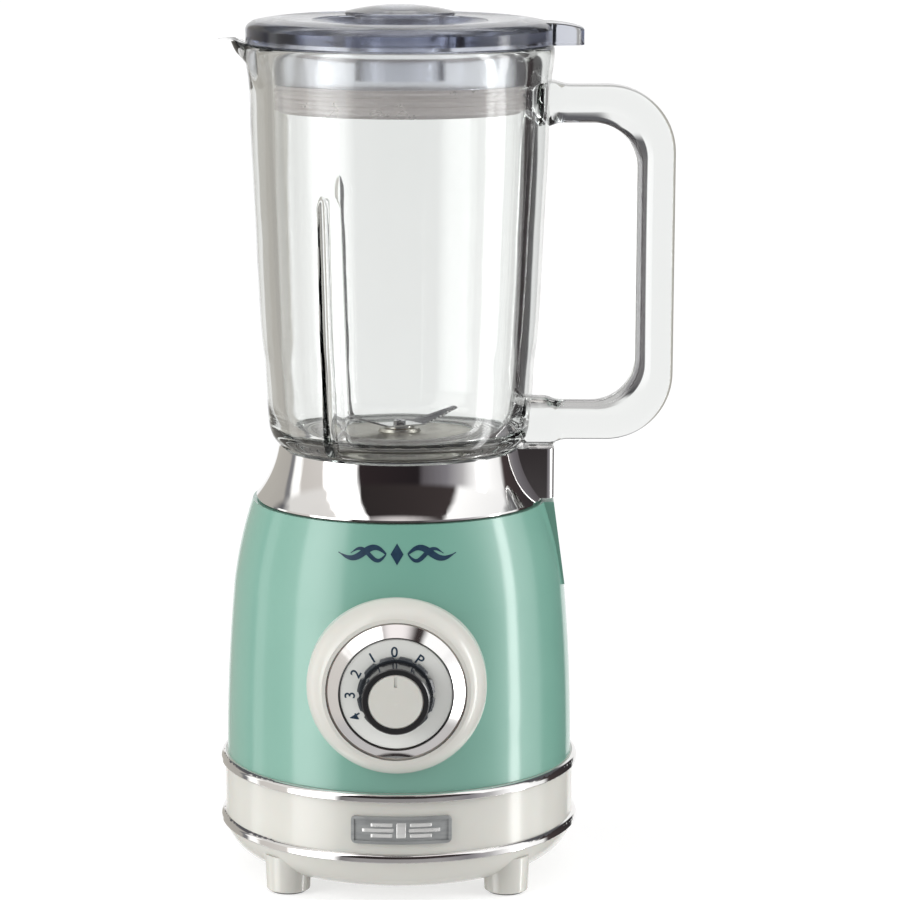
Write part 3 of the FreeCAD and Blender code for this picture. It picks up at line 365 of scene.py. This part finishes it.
MATERIALS = {
    "cream_plastic": moulded_plastic("cream_plastic", CREAM, 0.16, 0.26, Coat_Weight=0.3,
                                     Subsurface_Weight=0.06, Subsurface_Scale=0.004),
    "cream_print": moulded_plastic("cream_print", (0.70, 0.71, 0.68), 0.32, 0.44),
    "mint_paint": mint_enamel(),
    "chrome": polished_chrome(),
    "badge_metal": satin_badge("badge_metal", (0.26, 0.27, 0.27), (0.34, 0.35, 0.35),
                               0.34, 0.48),
    "badge_relief": satin_badge("badge_relief", (0.58, 0.58, 0.57), (0.72, 0.72, 0.71),
                                0.2, 0.34),
    "foot_rubber": rubber("foot_rubber", (0.10, 0.10, 0.098)),
    "black_rubber": rubber("black_rubber", (0.018, 0.018, 0.018)),
    "fastener_steel": brushed_metal("fastener_steel", (0.52, 0.52, 0.50), 0.3, 0.5, ALONG_Z),
    "black_plastic": moulded_plastic("black_plastic", (0.018, 0.018, 0.020), 0.35, 0.5,
                                     relief=0.03 * MM),
    "knob_black": moulded_plastic("knob_black", (0.009, 0.009, 0.010), 0.10, 0.2, Coat_Weight=0.5),
    "knob_smoke": tinted_clear("knob_smoke", (0.035, 0.042, 0.05), 0.10, 0.22, 0.3),
    "machined_steel": brushed_metal("machined_steel", (0.56, 0.56, 0.57), 0.18, 0.34, (1, 1, 30)),
    "board_green": printed_board(),
    "lamination": stacked_sheet(),
    "copper_wire": wound_copper(),
    "cast_bracket": sand_cast(),
    "brass_parts": brushed_metal("brass_parts", (0.78, 0.56, 0.25), 0.22, 0.4, ALONG_Z),
    "carbon": rubber("carbon", (0.03, 0.03, 0.032)),
    "white_plastic": moulded_plastic("white_plastic", (0.74, 0.74, 0.72), 0.3, 0.42),
    "capacitor_yellow": moulded_plastic("capacitor_yellow", (0.72, 0.46, 0.04), 0.22, 0.35),
    "spring_steel": brushed_metal("spring_steel", (0.5, 0.5, 0.51), 0.2, 0.32, ALONG_X),
    "holder_steel": brushed_metal("holder_steel", (0.62, 0.60, 0.54), 0.3, 0.45, (1, 1, 12)),
    "seat_plastic": moulded_plastic("seat_plastic", (0.20, 0.195, 0.165), 0.3, 0.45, relief=0.03 * MM),
    "jug_glass": clear_glass(),
    # The silicone's faint emission is a painted glow, standing in for light that the glass keeps from it.
    "silicone": with_painted_glow(tinted_clear("silicone", (0.88, 0.85, 0.835), 0.25, 0.4, 0.5), 0.07),
    "blade_steel": brushed_metal("blade_steel", (0.72, 0.72, 0.72), 0.10, 0.24, ALONG_X),
    "smoke_lid": smoke_plastic(),
}


def paint_cad_nodes():
    """Give every carried-over CAD node the material of its slot in the record."""
    for part in record["subparts"]:
        node = nodes[part["node"]]
        node.data.materials.clear()
        node.data.materials.append(MATERIALS[part["material_slot"]])


# ---------------------------------------------------------------- glass jug

jug_low, jug_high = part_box("glass_jug")
collar_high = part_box("jug_collar")[1]

JUG_BASE = collar_high.z + 0.4 * MM
JUG_RIM = jug_high.z - 2.2 * MM
RIM_RADIUS = jug_high.y
FLUTE_TOP = JUG_BASE + 119.4 * MM
FLUTE_ANGLES = (math.radians(120), math.radians(-120))
SPOUT_HALF_WIDTH = 17 * MM
SPOUT_REACH = -jug_low.x - RIM_RADIUS

# (radius, height over the jug's base, side) in mm, down the outside, under and up the inside
JUG_SECTION = [
    (69.2, 183.6, 0), (70.0, 183.1, 1), (70.45, 182.0, 1), (70.4, 178.5, 1), (70.1, 175.3, 1),
    (69.4, 170.4, 1), (68.85, 165.4, 1), (68.55, 160.0, 1), (68.3, 150.0, 1), (68.0, 137.4, 1),
    (67.3, 121.4, 1), (66.4, 104.4, 1), (65.2, 77.4, 1), (63.7, 51.0, 1), (62.2, 37.9, 1),
    (61.3, 22.0, 1), (60.6, 10.5, 1), (59.9, 6.6, 1), (58.6, 3.4, 1), (56.6, 1.1, 1),
    (54.5, 0.2, 0), (50.0, 0.0, 0), (42.0, 0.0, 0), (41.0, -0.6, 0), (41.0, -14.0, 0),
    (40.4, -14.6, 0), (34.6, -14.6, 0), (34.0, -14.0, 0), (34.0, 4.2, 0), (34.7, 4.9, 0),
    (40.0, 5.0, 0), (45.0, 5.2, -1), (48.4, 6.4, -1), (50.8, 8.9, -1), (52.3, 13.0, -1),
    (53.1, 20.0, -1), (54.4, 49.4, -1), (55.6, 80.0, -1), (56.7, 115.0, -1), (57.6, 155.0, -1),
    (58.3, 174.0, -1), (58.9, 180.0, -1), (59.7, 182.6, -1), (61.2, 183.5, -1), (64.5, 183.6, 0),
]
SECTION_STEP = 1.1 * MM


def jug_angles():
    """Where the wall is sampled around the jug: a degree apart, and finer across each flute."""
    angles = {math.radians(degree) for degree in range(360)}
    quarter_degrees = [step for step in range(-34, 35) if step % 4]
    for middle in FLUTE_ANGLES:
        angles |= {(middle + math.radians(step / 4)) % (2 * math.pi) for step in quarter_degrees}
    return sorted(angles)


def curve_through(points, step):
    """Points on a smooth curve through (radius, height, side), about one step apart."""
    dense = []
    count = len(points)
    for number in range(count):
        before, start, end, after = (Vector(points[(number + shift) % count]) for shift in (-1, 0, 1, 2))
        length = (end.xy - start.xy).length
        length_before = (start - before).xy.length
        length_after = (after - end).xy.length
        slope_in = (end - before) * (length / (length + length_before))
        slope_out = (after - start) * (length / (length_after + length))
        pieces = max(int(length * MM / step), 1)
        for piece in range(pieces):
            t = piece / pieces
            dense.append((2 * t**3 - 3 * t**2 + 1) * start + (t**3 - 2 * t**2 + t) * slope_in
                         + (3 * t**2 - 2 * t**3) * end + (t**3 - t**2) * slope_out)
    return dense


def flute_depth(height, side, offset):
    """How far a flute moves the wall inwards, at a distance along the wall from its middle.
    Outside it is a crisp channel with an arched top; inside, a softer rib."""
    down = (FLUTE_TOP - height) / (FLUTE_TOP - JUG_BASE)
    if down <= 0:
        return 0.0
    arch = math.sqrt(min(down * 26, 1.0))
    if side > 0:
        half_width = (2.7 + 1.1 * down) * MM * arch
        across = min(abs(offset) / half_width, 1.0)
        return (2.6 + 1.8 * down) * MM * arch * (1 - across**2)
    half_width = (5.0 + 2.0 * down) * MM * arch
    across = min(abs(offset) / half_width, 1.0)
    return (0.6 + 0.5 * down) * MM * arch * (1 - across**2) ** 2


def spout_push(height, side, offset):
    """How far the spout draws the wall outwards near the rim."""
    start = JUG_RIM - (8.6 if side > 0 else 20.0) * MM
    rise = min(max((height - start) / (JUG_RIM - start), 0.0), 1.0)
    across = min(abs(offset) / SPOUT_HALF_WIDTH, 1.0)
    reach = SPOUT_REACH if side >= 0 else SPOUT_REACH + 7.5 * MM
    return reach * (rise if side > 0 else rise**1.6) * (0.5 + 0.5 * math.cos(math.pi * across))


def jug_point(section, angle):
    """A point of the wall: the plain section, moved in by the flutes and out and up by the spout."""
    radius, height, side = section.x * MM, JUG_BASE + section.y * MM, section.z
    pushed = radius
    for middle in FLUTE_ANGLES:
        turn = (angle - middle + math.pi) % (2 * math.pi) - math.pi
        pushed -= abs(side) * flute_depth(height, side, turn * radius)
    turn = angle % (2 * math.pi) - math.pi
    pushed += spout_push(height, side if side else 1, turn * radius) if height > JUG_RIM - 22 * MM else 0
    lift = 2.2 * MM * smooth_step((pushed - RIM_RADIUS - 0.6 * MM) / (5 * MM)) * smooth_step(
        (height - JUG_RIM + 4 * MM) / (3 * MM))
    return Vector((pushed * math.cos(angle), pushed * math.sin(angle), height + lift))


def jug_wall():
    """The round wall, its thick floor and the neck under it, as one closed skin."""
    section = curve_through(JUG_SECTION, SECTION_STEP)
    section.reverse()
    angles = jug_angles()
    vertices = [jug_point(point, angle) for point in section for angle in angles]
    return mesh_object("jug_wall", vertices, grid_faces(len(section), len(angles), close_rows=True))


HANDLE_BAR = 17.5 * MM
HANDLE_TOP = JUG_RIM - 17.7 * MM
HANDLE_FOOT = JUG_BASE + 2.4 * MM
HANDLE_OUTER_BEND = 31 * MM
HANDLE_INNER_BEND = 20 * MM
TOP_ROOT = 61 * MM
FOOT_ROOT = 56.5 * MM
BEND_STEPS = 24
ROOT_STEPS = 15


def handle_paths():
    """Matching points along the outer and the inner edge of the handle, from the top root down."""
    edges = []
    for inset, radius in ((0.0, HANDLE_OUTER_BEND), (HANDLE_BAR, HANDLE_INNER_BEND)):
        edge = []
        right, high, low = jug_high.x - inset, HANDLE_TOP - inset, HANDLE_FOOT + inset
        bend_start = right - radius
        for number in range(ROOT_STEPS):
            edge.append(Vector((TOP_ROOT + (bend_start - TOP_ROOT) * number / ROOT_STEPS, high)))
        for number in range(BEND_STEPS):
            turn = math.pi / 2 * number / BEND_STEPS
            edge.append(Vector((bend_start + radius * math.sin(turn),
                                high - radius + radius * math.cos(turn))))
        for number in range(BEND_STEPS):
            straight = high - low - 2 * radius
            edge.append(Vector((right, high - radius - straight * number / BEND_STEPS)))
        for number in range(BEND_STEPS):
            turn = math.pi / 2 * number / BEND_STEPS
            edge.append(Vector((bend_start + radius * math.cos(turn),
                                low + radius - radius * math.sin(turn))))
        for number in range(ROOT_STEPS + 1):
            edge.append(Vector((bend_start - (bend_start - FOOT_ROOT) * number / ROOT_STEPS, low)))
        edges.append(edge)
    return edges


def bend(start, corner, end, steps=8):
    """Points of a smooth bend from one point to another round a corner."""
    return [start * (1 - share) ** 2 + corner * 2 * share * (1 - share) + end * share**2
            for share in (number / steps for number in range(steps + 1))]


def handle_section(half_across, half_deep):
    """Points round the bar's section, as (across, deep): flat sides with a sloped flank on the
    inside of the handle and a rounded corner on the outside."""
    flank = half_deep - 2.2 * MM
    quarter = bend(Vector((half_across, half_deep - 4.6 * MM)), Vector((half_across, half_deep)),
                   Vector((half_across - 4.2 * MM, half_deep)))
    quarter += bend(Vector((0.0, half_deep)), Vector((-1.2 * MM, half_deep)),
                    Vector((-2.3 * MM, half_deep - 0.6 * MM)), 4)
    quarter += bend(Vector((3.2 * MM - half_across, flank)), Vector((-half_across, flank - 1.7 * MM)),
                    Vector((-half_across, flank - 4.2 * MM)))
    mirrored = [Vector((point.x, -point.y)) for point in reversed(quarter)]
    return list(reversed(quarter + mirrored))


def make_handle():
    """A bar with flat sides and rounded edges that thickens into the wall at both roots."""
    outer, inner = handle_paths()
    vertices = []
    last = len(outer) - 1
    for number, (far, near) in enumerate(zip(outer, inner)):
        middle = (far + near) / 2
        along = (far - near).normalized()
        flare = 1.6 * MM * (1 - smooth_step((middle.x - 68 * MM) / (7 * MM)))
        section = handle_section((far - near).length / 2 + flare, HANDLE_BAR / 2 + flare)
        for across, deep in section:
            place = middle + along * across
            vertices.append(Vector((place.x, deep, place.y)))
    ring = len(section)
    faces = grid_faces(len(outer), ring)
    faces.append(tuple(range(ring)))
    faces.append(tuple(reversed(range(last * ring, (last + 1) * ring))))
    return mesh_object("handle", vertices, faces)


def rounded_block(name, low, high, radius):
    """A box with rounded edges between two corners."""
    block = bmesh.new()
    bmesh.ops.create_cube(block, size=1.0)
    for vertex in block.verts:
        for axis in range(3):
            vertex.co[axis] = high[axis] if vertex.co[axis] > 0 else low[axis]
    bmesh.ops.bevel(block, geom=block.edges[:], offset=radius, segments=3, affect="EDGES")
    mesh = bpy.data.meshes.new(name)
    block.to_mesh(mesh)
    block.free()
    piece = bpy.data.objects.new(name, mesh)
    bpy.context.scene.collection.objects.link(piece)
    return piece


def make_jug():
    """The pressed glass jug with its handle, and the lug under the handle that rests on the seat."""
    lug_width = 15.2 * MM
    lug_height = 5 * MM
    lug_reach = 72 * MM
    lug = rounded_block("lug", (FOOT_ROOT, -lug_width / 2, JUG_BASE),
                        (lug_reach, lug_width / 2, JUG_BASE + lug_height), 0.9 * MM)
    jug = join_solids(jug_wall(), make_handle(), lug)
    jug.name = "pressed_glass_jug"
    soften(jug, 50)
    install(jug, "jug", MATERIALS["jug_glass"])
    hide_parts("glass_jug")


# ---------------------------------------------------------------- interlock spring


def make_interlock_spring():
    """The spring under the interlock pin, a wound coil that rides with the pin."""
    low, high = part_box("interlock_spring")
    middle = (low + high) / 2
    wire = 0.35 * MM
    radius = (high.y - low.y) / 2 - wire
    length = high.z - low.z - 2 * wire
    pitch = 2.2 * MM
    around_wire, around_coil = 10, 28
    turns = length / pitch
    rows = round(turns * around_coil)
    vertices = []
    for number in range(rows + 1):
        share = number / rows
        angle = 2 * math.pi * turns * share
        outward = Vector((math.cos(angle), math.sin(angle), 0))
        line = Vector((middle.x, middle.y, low.z + wire + length * share)) + outward * radius
        for corner in range(around_wire):
            turn = 2 * math.pi * corner / around_wire
            vertices.append(line + (outward * math.cos(turn) + Vector((0, 0, 1)) * math.sin(turn)) * wire)
    faces = grid_faces(rows + 1, around_wire)
    faces.append(tuple(range(around_wire)))
    faces.append(tuple(reversed(range(rows * around_wire, (rows + 1) * around_wire))))
    spring = mesh_object("coil_spring", vertices, [tuple(reversed(face)) for face in faces])
    install(spring, "interlock", MATERIALS["spring_steel"])
    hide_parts("interlock_spring")
    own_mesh(spring)


# ---------------------------------------------------------------- dial print and ornament

dial_low, dial_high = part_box("dial_plate")
DIAL_CENTRE = Vector((0, dial_low.y, (dial_low.z + dial_high.z) / 2))
MARK_CENTRE = DIAL_CENTRE + Vector((-0.8 * MM, 0, -0.6 * MM))
MARK_RADIUS = 19.8 * MM
MARK_HEIGHT = 4.5 * MM
DIGIT_SHARE = 0.69  # height of a digit over the font's size
PRINT_THICKNESS = 0.06 * MM
MARKS = {"0": 0, "P": -35, "1": 30, "2": 60, "3": 90, "4": 120}


def navy_print():
    """Dark blue pad print."""
    surface = Surface("navy_print")
    surface.colour(surface.noise(2 * MM, 4), (0.010, 0.028, 0.055), (0.016, 0.042, 0.075))
    surface.roughness(surface.noise(1.5 * MM, 3), 0.3, 0.45)
    surface.bump(surface.noise(0.4 * MM, 3), 0.01 * MM)
    return surface.material


def make_dial_marks(material):
    """The speed marks, each turned so that its foot points to the knob."""
    vertices = []
    faces = []
    for mark, turn in MARKS.items():
        curve = bpy.data.curves.new(f"mark_{mark}", "FONT")
        curve.body = mark
        curve.size = MARK_HEIGHT / DIGIT_SHARE
        curve.extrude = PRINT_THICKNESS
        curve.offset = 0.09 * MM
        curve.resolution_u = 6
        text = bpy.data.objects.new(f"mark_{mark}", curve)
        bpy.context.scene.collection.objects.link(text)
        depsgraph = bpy.context.evaluated_depsgraph_get()
        mesh = bpy.data.meshes.new_from_object(text.evaluated_get(depsgraph))
        low = Vector([min(vertex.co[axis] for vertex in mesh.vertices) for axis in range(3)])
        high = Vector([max(vertex.co[axis] for vertex in mesh.vertices) for axis in range(3)])
        centred = Matrix.Translation(-(low + high) / 2)
        upright = Matrix.Rotation(math.pi / 2, 4, "X")
        raised = Matrix.Translation((0, 0, MARK_RADIUS))
        turned = Matrix.Rotation(math.radians(-turn), 4, "Y")
        move = Matrix.Translation(MARK_CENTRE) @ turned @ raised @ upright @ centred
        start = len(vertices)
        vertices += [move @ vertex.co for vertex in mesh.vertices]
        faces += [tuple(start + corner for corner in face.vertices) for face in mesh.polygons]
        bpy.data.objects.remove(text)
    marks = mesh_object("dial_marks", vertices, faces)
    install(marks, "base", material)


shell_low, shell_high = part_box("body_shell")
BODY_RADIUS = shell_high.y
SHOULDER_HEIGHT = 136.0 * MM
SHOULDER_RADIUS = BODY_RADIUS - 3.8 * MM
TOP_RADIUS = BODY_RADIUS - 12.6 * MM
ORNAMENT_HEIGHT = 162.3 * MM
ORNAMENT_PROUD = 0.15 * MM
ORNAMENT_FOOT = 0.01 * MM


def body_radius(height):
    """The radius of the painted body's outside at a height."""
    if height < SHOULDER_HEIGHT:
        start, end, low, high, bow = shell_low.z, SHOULDER_HEIGHT, BODY_RADIUS, SHOULDER_RADIUS, 0.92 * MM
    else:
        start, end, low, high, bow = SHOULDER_HEIGHT, shell_high.z, SHOULDER_RADIUS, TOP_RADIUS, 0.96 * MM
    share = (height - start) / (end - start)
    return low + (high - low) * share + bow * 4 * share * (1 - share)


def on_body(across, height, proud):
    """A point on the front of the painted body, or proud of it."""
    radius = body_radius(height) + proud
    return Vector((across, -math.sqrt(radius**2 - across**2), height))


def make_ornament(material):
    """A generic mirrored flourish printed on the body: a diamond between two tapering waves."""
    vertices = []
    faces = []

    def ribbon(points, widths):
        """A flat closed strip on the body along points, as wide as the widths say."""
        start = len(vertices)
        for number, (place, width) in enumerate(zip(points, widths)):
            before = points[max(number - 1, 0)]
            after = points[min(number + 1, len(points) - 1)]
            along = (after - before).normalized()
            side = Vector((-along.y, along.x)) * width / 2
            for edge, proud in ((side, ORNAMENT_FOOT), (side, ORNAMENT_PROUD),
                                (-side, ORNAMENT_PROUD), (-side, ORNAMENT_FOOT)):
                vertices.append(on_body(place.x + edge.x, ORNAMENT_HEIGHT + place.y + edge.y, proud))
        rows = len(points)
        faces.extend(tuple(start + corner for corner in face) for face in grid_faces(rows, 4))
        faces.append(tuple(start + corner for corner in (3, 2, 1, 0)))
        faces.append(tuple(start + (rows - 1) * 4 + corner for corner in range(4)))

    steps = 48
    for side in (-1, 1):
        for lead, swing, thick in ((1.0, 1.0, 2.9), (0.74, -1.0, 2.0)):
            line = []
            widths = []
            for number in range(steps + 1):
                share = number / steps
                reach = (4.9 + 21.4 * share * lead) * MM
                sway = swing * 3.2 * MM * math.sin(share * math.pi * 2.0) * (1 - 0.45 * share)
                line.append(Vector((side * reach, sway)))
                swell = math.sin(math.pi * min(share * 1.04 + 0.02, 1.0)) ** 0.8
                widths.append(thick * MM * (0.16 + 0.84 * swell))
            ribbon(line, widths)
    diamond = [Vector((0, (number / 12 - 0.5) * 9.4 * MM)) for number in range(13)]
    ribbon(diamond, [max(5.8 * MM * (1 - abs(number / 6 - 1)), 0.1 * MM) for number in range(13)])
    ornament = mesh_object("body_ornament", vertices, faces)
    install(ornament, "base", material)


def make_badge_relief():
    """Generic raised bars on the badge: a block in the middle and three bars at each side of it."""
    low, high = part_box("name_plate")
    middle_height = (low.z + high.z) / 2
    radius = -low.y - 0.55 * MM
    turn = (low.x + high.x) / 2 / radius
    vertices = []
    faces = []

    def bar(centre, height, width, thick):
        """A raised bar with sloped edges that follows the badge's curve."""
        start = len(vertices)
        columns = 14
        for number in range(columns + 1):
            angle = turn + (centre - width / 2 + width * number / columns) / radius
            taper = min(number, columns - number, 1)
            for rise, proud in ((-0.5, 0.0), (-0.36, 0.45), (0.36, 0.45), (0.5, 0.0)):
                reach = radius - 0.1 * MM + proud * MM * taper
                vertices.append(Vector((reach * math.sin(angle), -reach * math.cos(angle),
                                        middle_height + height + rise * thick)))
        faces.extend(tuple(start + corner for corner in face) for face in grid_faces(columns + 1, 4))
        faces.append(tuple(start + corner for corner in (3, 2, 1, 0)))
        faces.append(tuple(start + columns * 4 + corner for corner in range(4)))

    for side in (-1, 1):
        for level in (-1, 0, 1):
            centre = side * (10.6 - abs(level) * 1.7) * MM
            width = (14.5 - abs(level) * 4.5) * MM
            bar(centre, level * 2.5 * MM, width, 1.8 * MM)
    bar(0.0, 0.0, 4.4 * MM, 7.2 * MM)
    relief = mesh_object("badge_relief", vertices, faces)
    install(relief, "base", MATERIALS["badge_relief"])


# ---------------------------------------------------------------- studio


CAMERA_PLACE = (0.02344, -1.6102, 0.48985)
CAMERA_DOWN = math.radians(10.32)
CAMERA_ROLL = math.radians(0.231)


def make_camera():
    """A long lens in front of the dial, above the lid's height and looking down a little."""
    data = bpy.data.cameras.new("camera")
    data.lens = 141.0
    data.sensor_width = 36.0
    data.clip_end = 60.0
    camera = bpy.data.objects.new("camera", data)
    tilt = Matrix.Rotation(math.pi / 2 - CAMERA_DOWN, 4, "X")
    roll = Matrix.Rotation(CAMERA_ROLL, 4, "Z")
    camera.matrix_world = Matrix.Translation(CAMERA_PLACE) @ tilt @ roll
    bpy.context.scene.collection.objects.link(camera)
    bpy.context.scene.camera = camera


def make_floor():
    """A pale sweep: plain floor round the blender that fades into an evenly lit white."""
    surface = Surface("pale_floor")
    distance = surface.add("ShaderNodeVectorMath", operation="LENGTH")
    surface.link(surface.place, distance.inputs[0])
    surface.colour(distance.outputs["Value"], (0.45, 0.45, 0.45), (0.02, 0.02, 0.02), 0.12, 0.4)
    surface.roughness(surface.noise(0.05, 3), 0.85, 0.95)
    surface.shader.inputs["Emission Color"].default_value = (1, 1, 1, 1)
    surface.link(surface.remap(distance.outputs["Value"], 0.6, 1.0, 0.12, 0.4),
                 surface.shader.inputs["Emission Strength"])
    size = 25.0
    floor = mesh_object("floor", [(-size, -size, 0), (size, -size, 0), (size, size, 0), (-size, size, 0)],
                        [(0, 1, 2, 3)])
    floor.data.materials.append(surface.material)
    floor.visible_glossy = False
    floor.visible_transmission = False


def area_light(name, place, target, size, energy):
    """A soft panel that is seen neither in reflections nor through glass."""
    data = bpy.data.lights.new(name, "AREA")
    data.shape = "RECTANGLE"
    data.size, data.size_y = size
    data.energy = energy
    light = bpy.data.objects.new(name, data)
    light.location = place
    light.rotation_euler = (Vector(target) - Vector(place)).to_track_quat("-Z", "Y").to_euler()
    light.visible_glossy = False
    light.visible_transmission = False
    bpy.context.scene.collection.objects.link(light)


# Colours round the studio at the blender's height, and higher up. Azimuth runs from -180 behind
# the blender, by -90 at its left and 0 at the camera, to 180.
AROUND = [
    (-180, (1.0, 1.0, 1.0)), (-162, (1.0, 1.0, 1.0)), (-160, (0.50, 0.48, 0.44)),
    (-122, (0.46, 0.44, 0.41)), (-119, (0.20, 0.20, 0.21)), (-115, (0.24, 0.24, 0.25)),
    (-112, (1.2, 1.2, 1.18)), (-104, (1.3, 1.3, 1.28)), (-100, (0.66, 0.63, 0.60)),
    (-76, (0.72, 0.69, 0.66)), (-72, (3.4, 3.4, 3.4)), (-58, (3.4, 3.4, 3.4)),
    (-42, (2.0, 2.0, 2.0)), (-37, (0.03, 0.022, 0.024)), (18, (0.02, 0.016, 0.018)),
    (24, (0.12, 0.11, 0.12)), (46, (0.22, 0.21, 0.23)), (62, (0.5, 0.49, 0.5)), (78, (1.2, 1.2, 1.2)),
    (81, (8.0, 8.0, 8.0)), (87, (8.0, 8.0, 8.0)), (90, (1.2, 1.2, 1.2)), (108, (1.0, 1.0, 1.0)),
    (113, (0.06, 0.045, 0.045)), (146, (0.035, 0.032, 0.035)), (151, (0.05, 0.05, 0.055)),
    (154, (1.0, 1.0, 1.0)), (180, (1.0, 1.0, 1.0)),
]
ABOVE = [
    (-180, (0.10, 0.10, 0.11)), (-122, (0.12, 0.12, 0.13)), (-114, (0.8, 0.79, 0.77)),
    (-74, (0.86, 0.84, 0.82)), (-70, (2.4, 2.4, 2.4)), (-42, (2.4, 2.4, 2.4)), (-37, (0.03, 0.025, 0.025)),
    (54, (0.05, 0.04, 0.04)), (60, (1.2, 1.2, 1.2)), (110, (1.0, 1.0, 1.0)), (116, (0.10, 0.10, 0.11)),
    (180, (0.10, 0.10, 0.11)),
]


def make_world():
    """A bright field behind the blender, tall soft boxes at both sides and dark gaps between them."""
    world = bpy.data.worlds.new("studio")
    bpy.context.scene.world = world
    world.use_nodes = True
    tree = world.node_tree
    tree.nodes.clear()

    def add(kind, **settings):
        node = tree.nodes.new(kind)
        for setting, value in settings.items():
            setattr(node, setting, value)
        return node

    def connect(source, socket):
        if isinstance(source, bpy.types.NodeSocket):
            tree.links.new(source, socket)
        else:
            socket.default_value = source

    def compute(operation, first, second=0.0):
        node = add("ShaderNodeMath", operation=operation)
        connect(first, node.inputs[0])
        connect(second, node.inputs[1])
        return node.outputs[0]

    def panorama(source, stops):
        """The colours of the stops laid round the horizon."""
        ramp = add("ShaderNodeValToRGB")
        elements = ramp.color_ramp.elements
        while len(elements) < len(stops):
            elements.new(0.5)
        for element, (angle, colour) in zip(elements, stops):
            element.position = angle / 360 + 0.5
            element.color = (*colour, 1)
        connect(source, ramp.inputs["Fac"])
        return ramp.outputs["Color"]

    def blend(source, low, high, below, above):
        """Change smoothly from one colour to another while the source goes from low to high."""
        fade = add("ShaderNodeMapRange", interpolation_type="SMOOTHSTEP")
        fade.inputs["From Min"].default_value = low
        fade.inputs["From Max"].default_value = high
        connect(source, fade.inputs["Value"])
        mix = add("ShaderNodeMix", data_type="RGBA")
        connect(fade.outputs["Result"], mix.inputs["Factor"])
        connect(below, mix.inputs["A"])
        connect(above, mix.inputs["B"])
        return mix.outputs["Result"]

    def rising(low, high, below, above):
        """Change from one colour to another over a range of elevation, in degrees."""
        return blend(height, math.radians(low), math.radians(high), below, above)

    split = add("ShaderNodeSeparateXYZ")
    connect(add("ShaderNodeTexCoord").outputs["Generated"], split.inputs[0])
    forward = compute("MULTIPLY", split.outputs["Y"], -1.0)
    azimuth = compute("ARCTAN2", split.outputs["X"], forward)
    share = compute("ADD", compute("MULTIPLY", azimuth, 0.5 / math.pi), 0.5)
    height = compute("ARCSINE", split.outputs["Z"])
    around = panorama(share, AROUND)
    table = rising(-20, -9, (0.42, 0.41, 0.41, 1), around)
    table_in_front = blend(forward, 0.5585, 0.9076, around, table)
    lower = rising(-46, -32, (0.58, 0.57, 0.57, 1), table_in_front)
    middle = rising(22, 30, lower, panorama(share, ABOVE))
    whole = rising(60, 70, middle, (1.05, 1.0, 1.0, 1))
    glow = add("ShaderNodeBackground")
    connect(whole, glow.inputs["Color"])
    plain = add("ShaderNodeBackground")
    plain.inputs["Color"].default_value = (1, 1, 1, 1)
    choose = add("ShaderNodeMixShader")
    connect(add("ShaderNodeLightPath").outputs["Is Camera Ray"], choose.inputs[0])
    connect(glow.outputs[0], choose.inputs[1])
    connect(plain.outputs[0], choose.inputs[2])
    connect(choose.outputs[0], add("ShaderNodeOutputWorld").inputs["Surface"])


def make_studio():
    """The camera, the floor, what surrounds them and three soft lights."""
    make_camera()
    make_floor()
    make_world()
    area_light("left_fill", (-1.7, -0.8, 0.9), (0, 0, 0.2), (1.2, 1.6), 19)
    area_light("right_fill", (1.8, -0.4, 0.9), (0, 0, 0.2), (1.0, 1.4), 20)
    area_light("top_fill", (0, -0.3, 2.2), (0, 0, 0), (3.0, 3.0), 18)
    scene = bpy.context.scene
    scene.view_settings.view_transform = "Standard"
    scene.cycles.max_bounces = 24
    scene.cycles.transmission_bounces = 24
    scene.cycles.glossy_bounces = 8
    scene.cycles.transparent_max_bounces = 12


navy = navy_print()

paint_cad_nodes()
make_jug()
make_interlock_spring()
make_dial_marks(navy)
make_ornament(navy)
make_badge_relief()
make_studio()
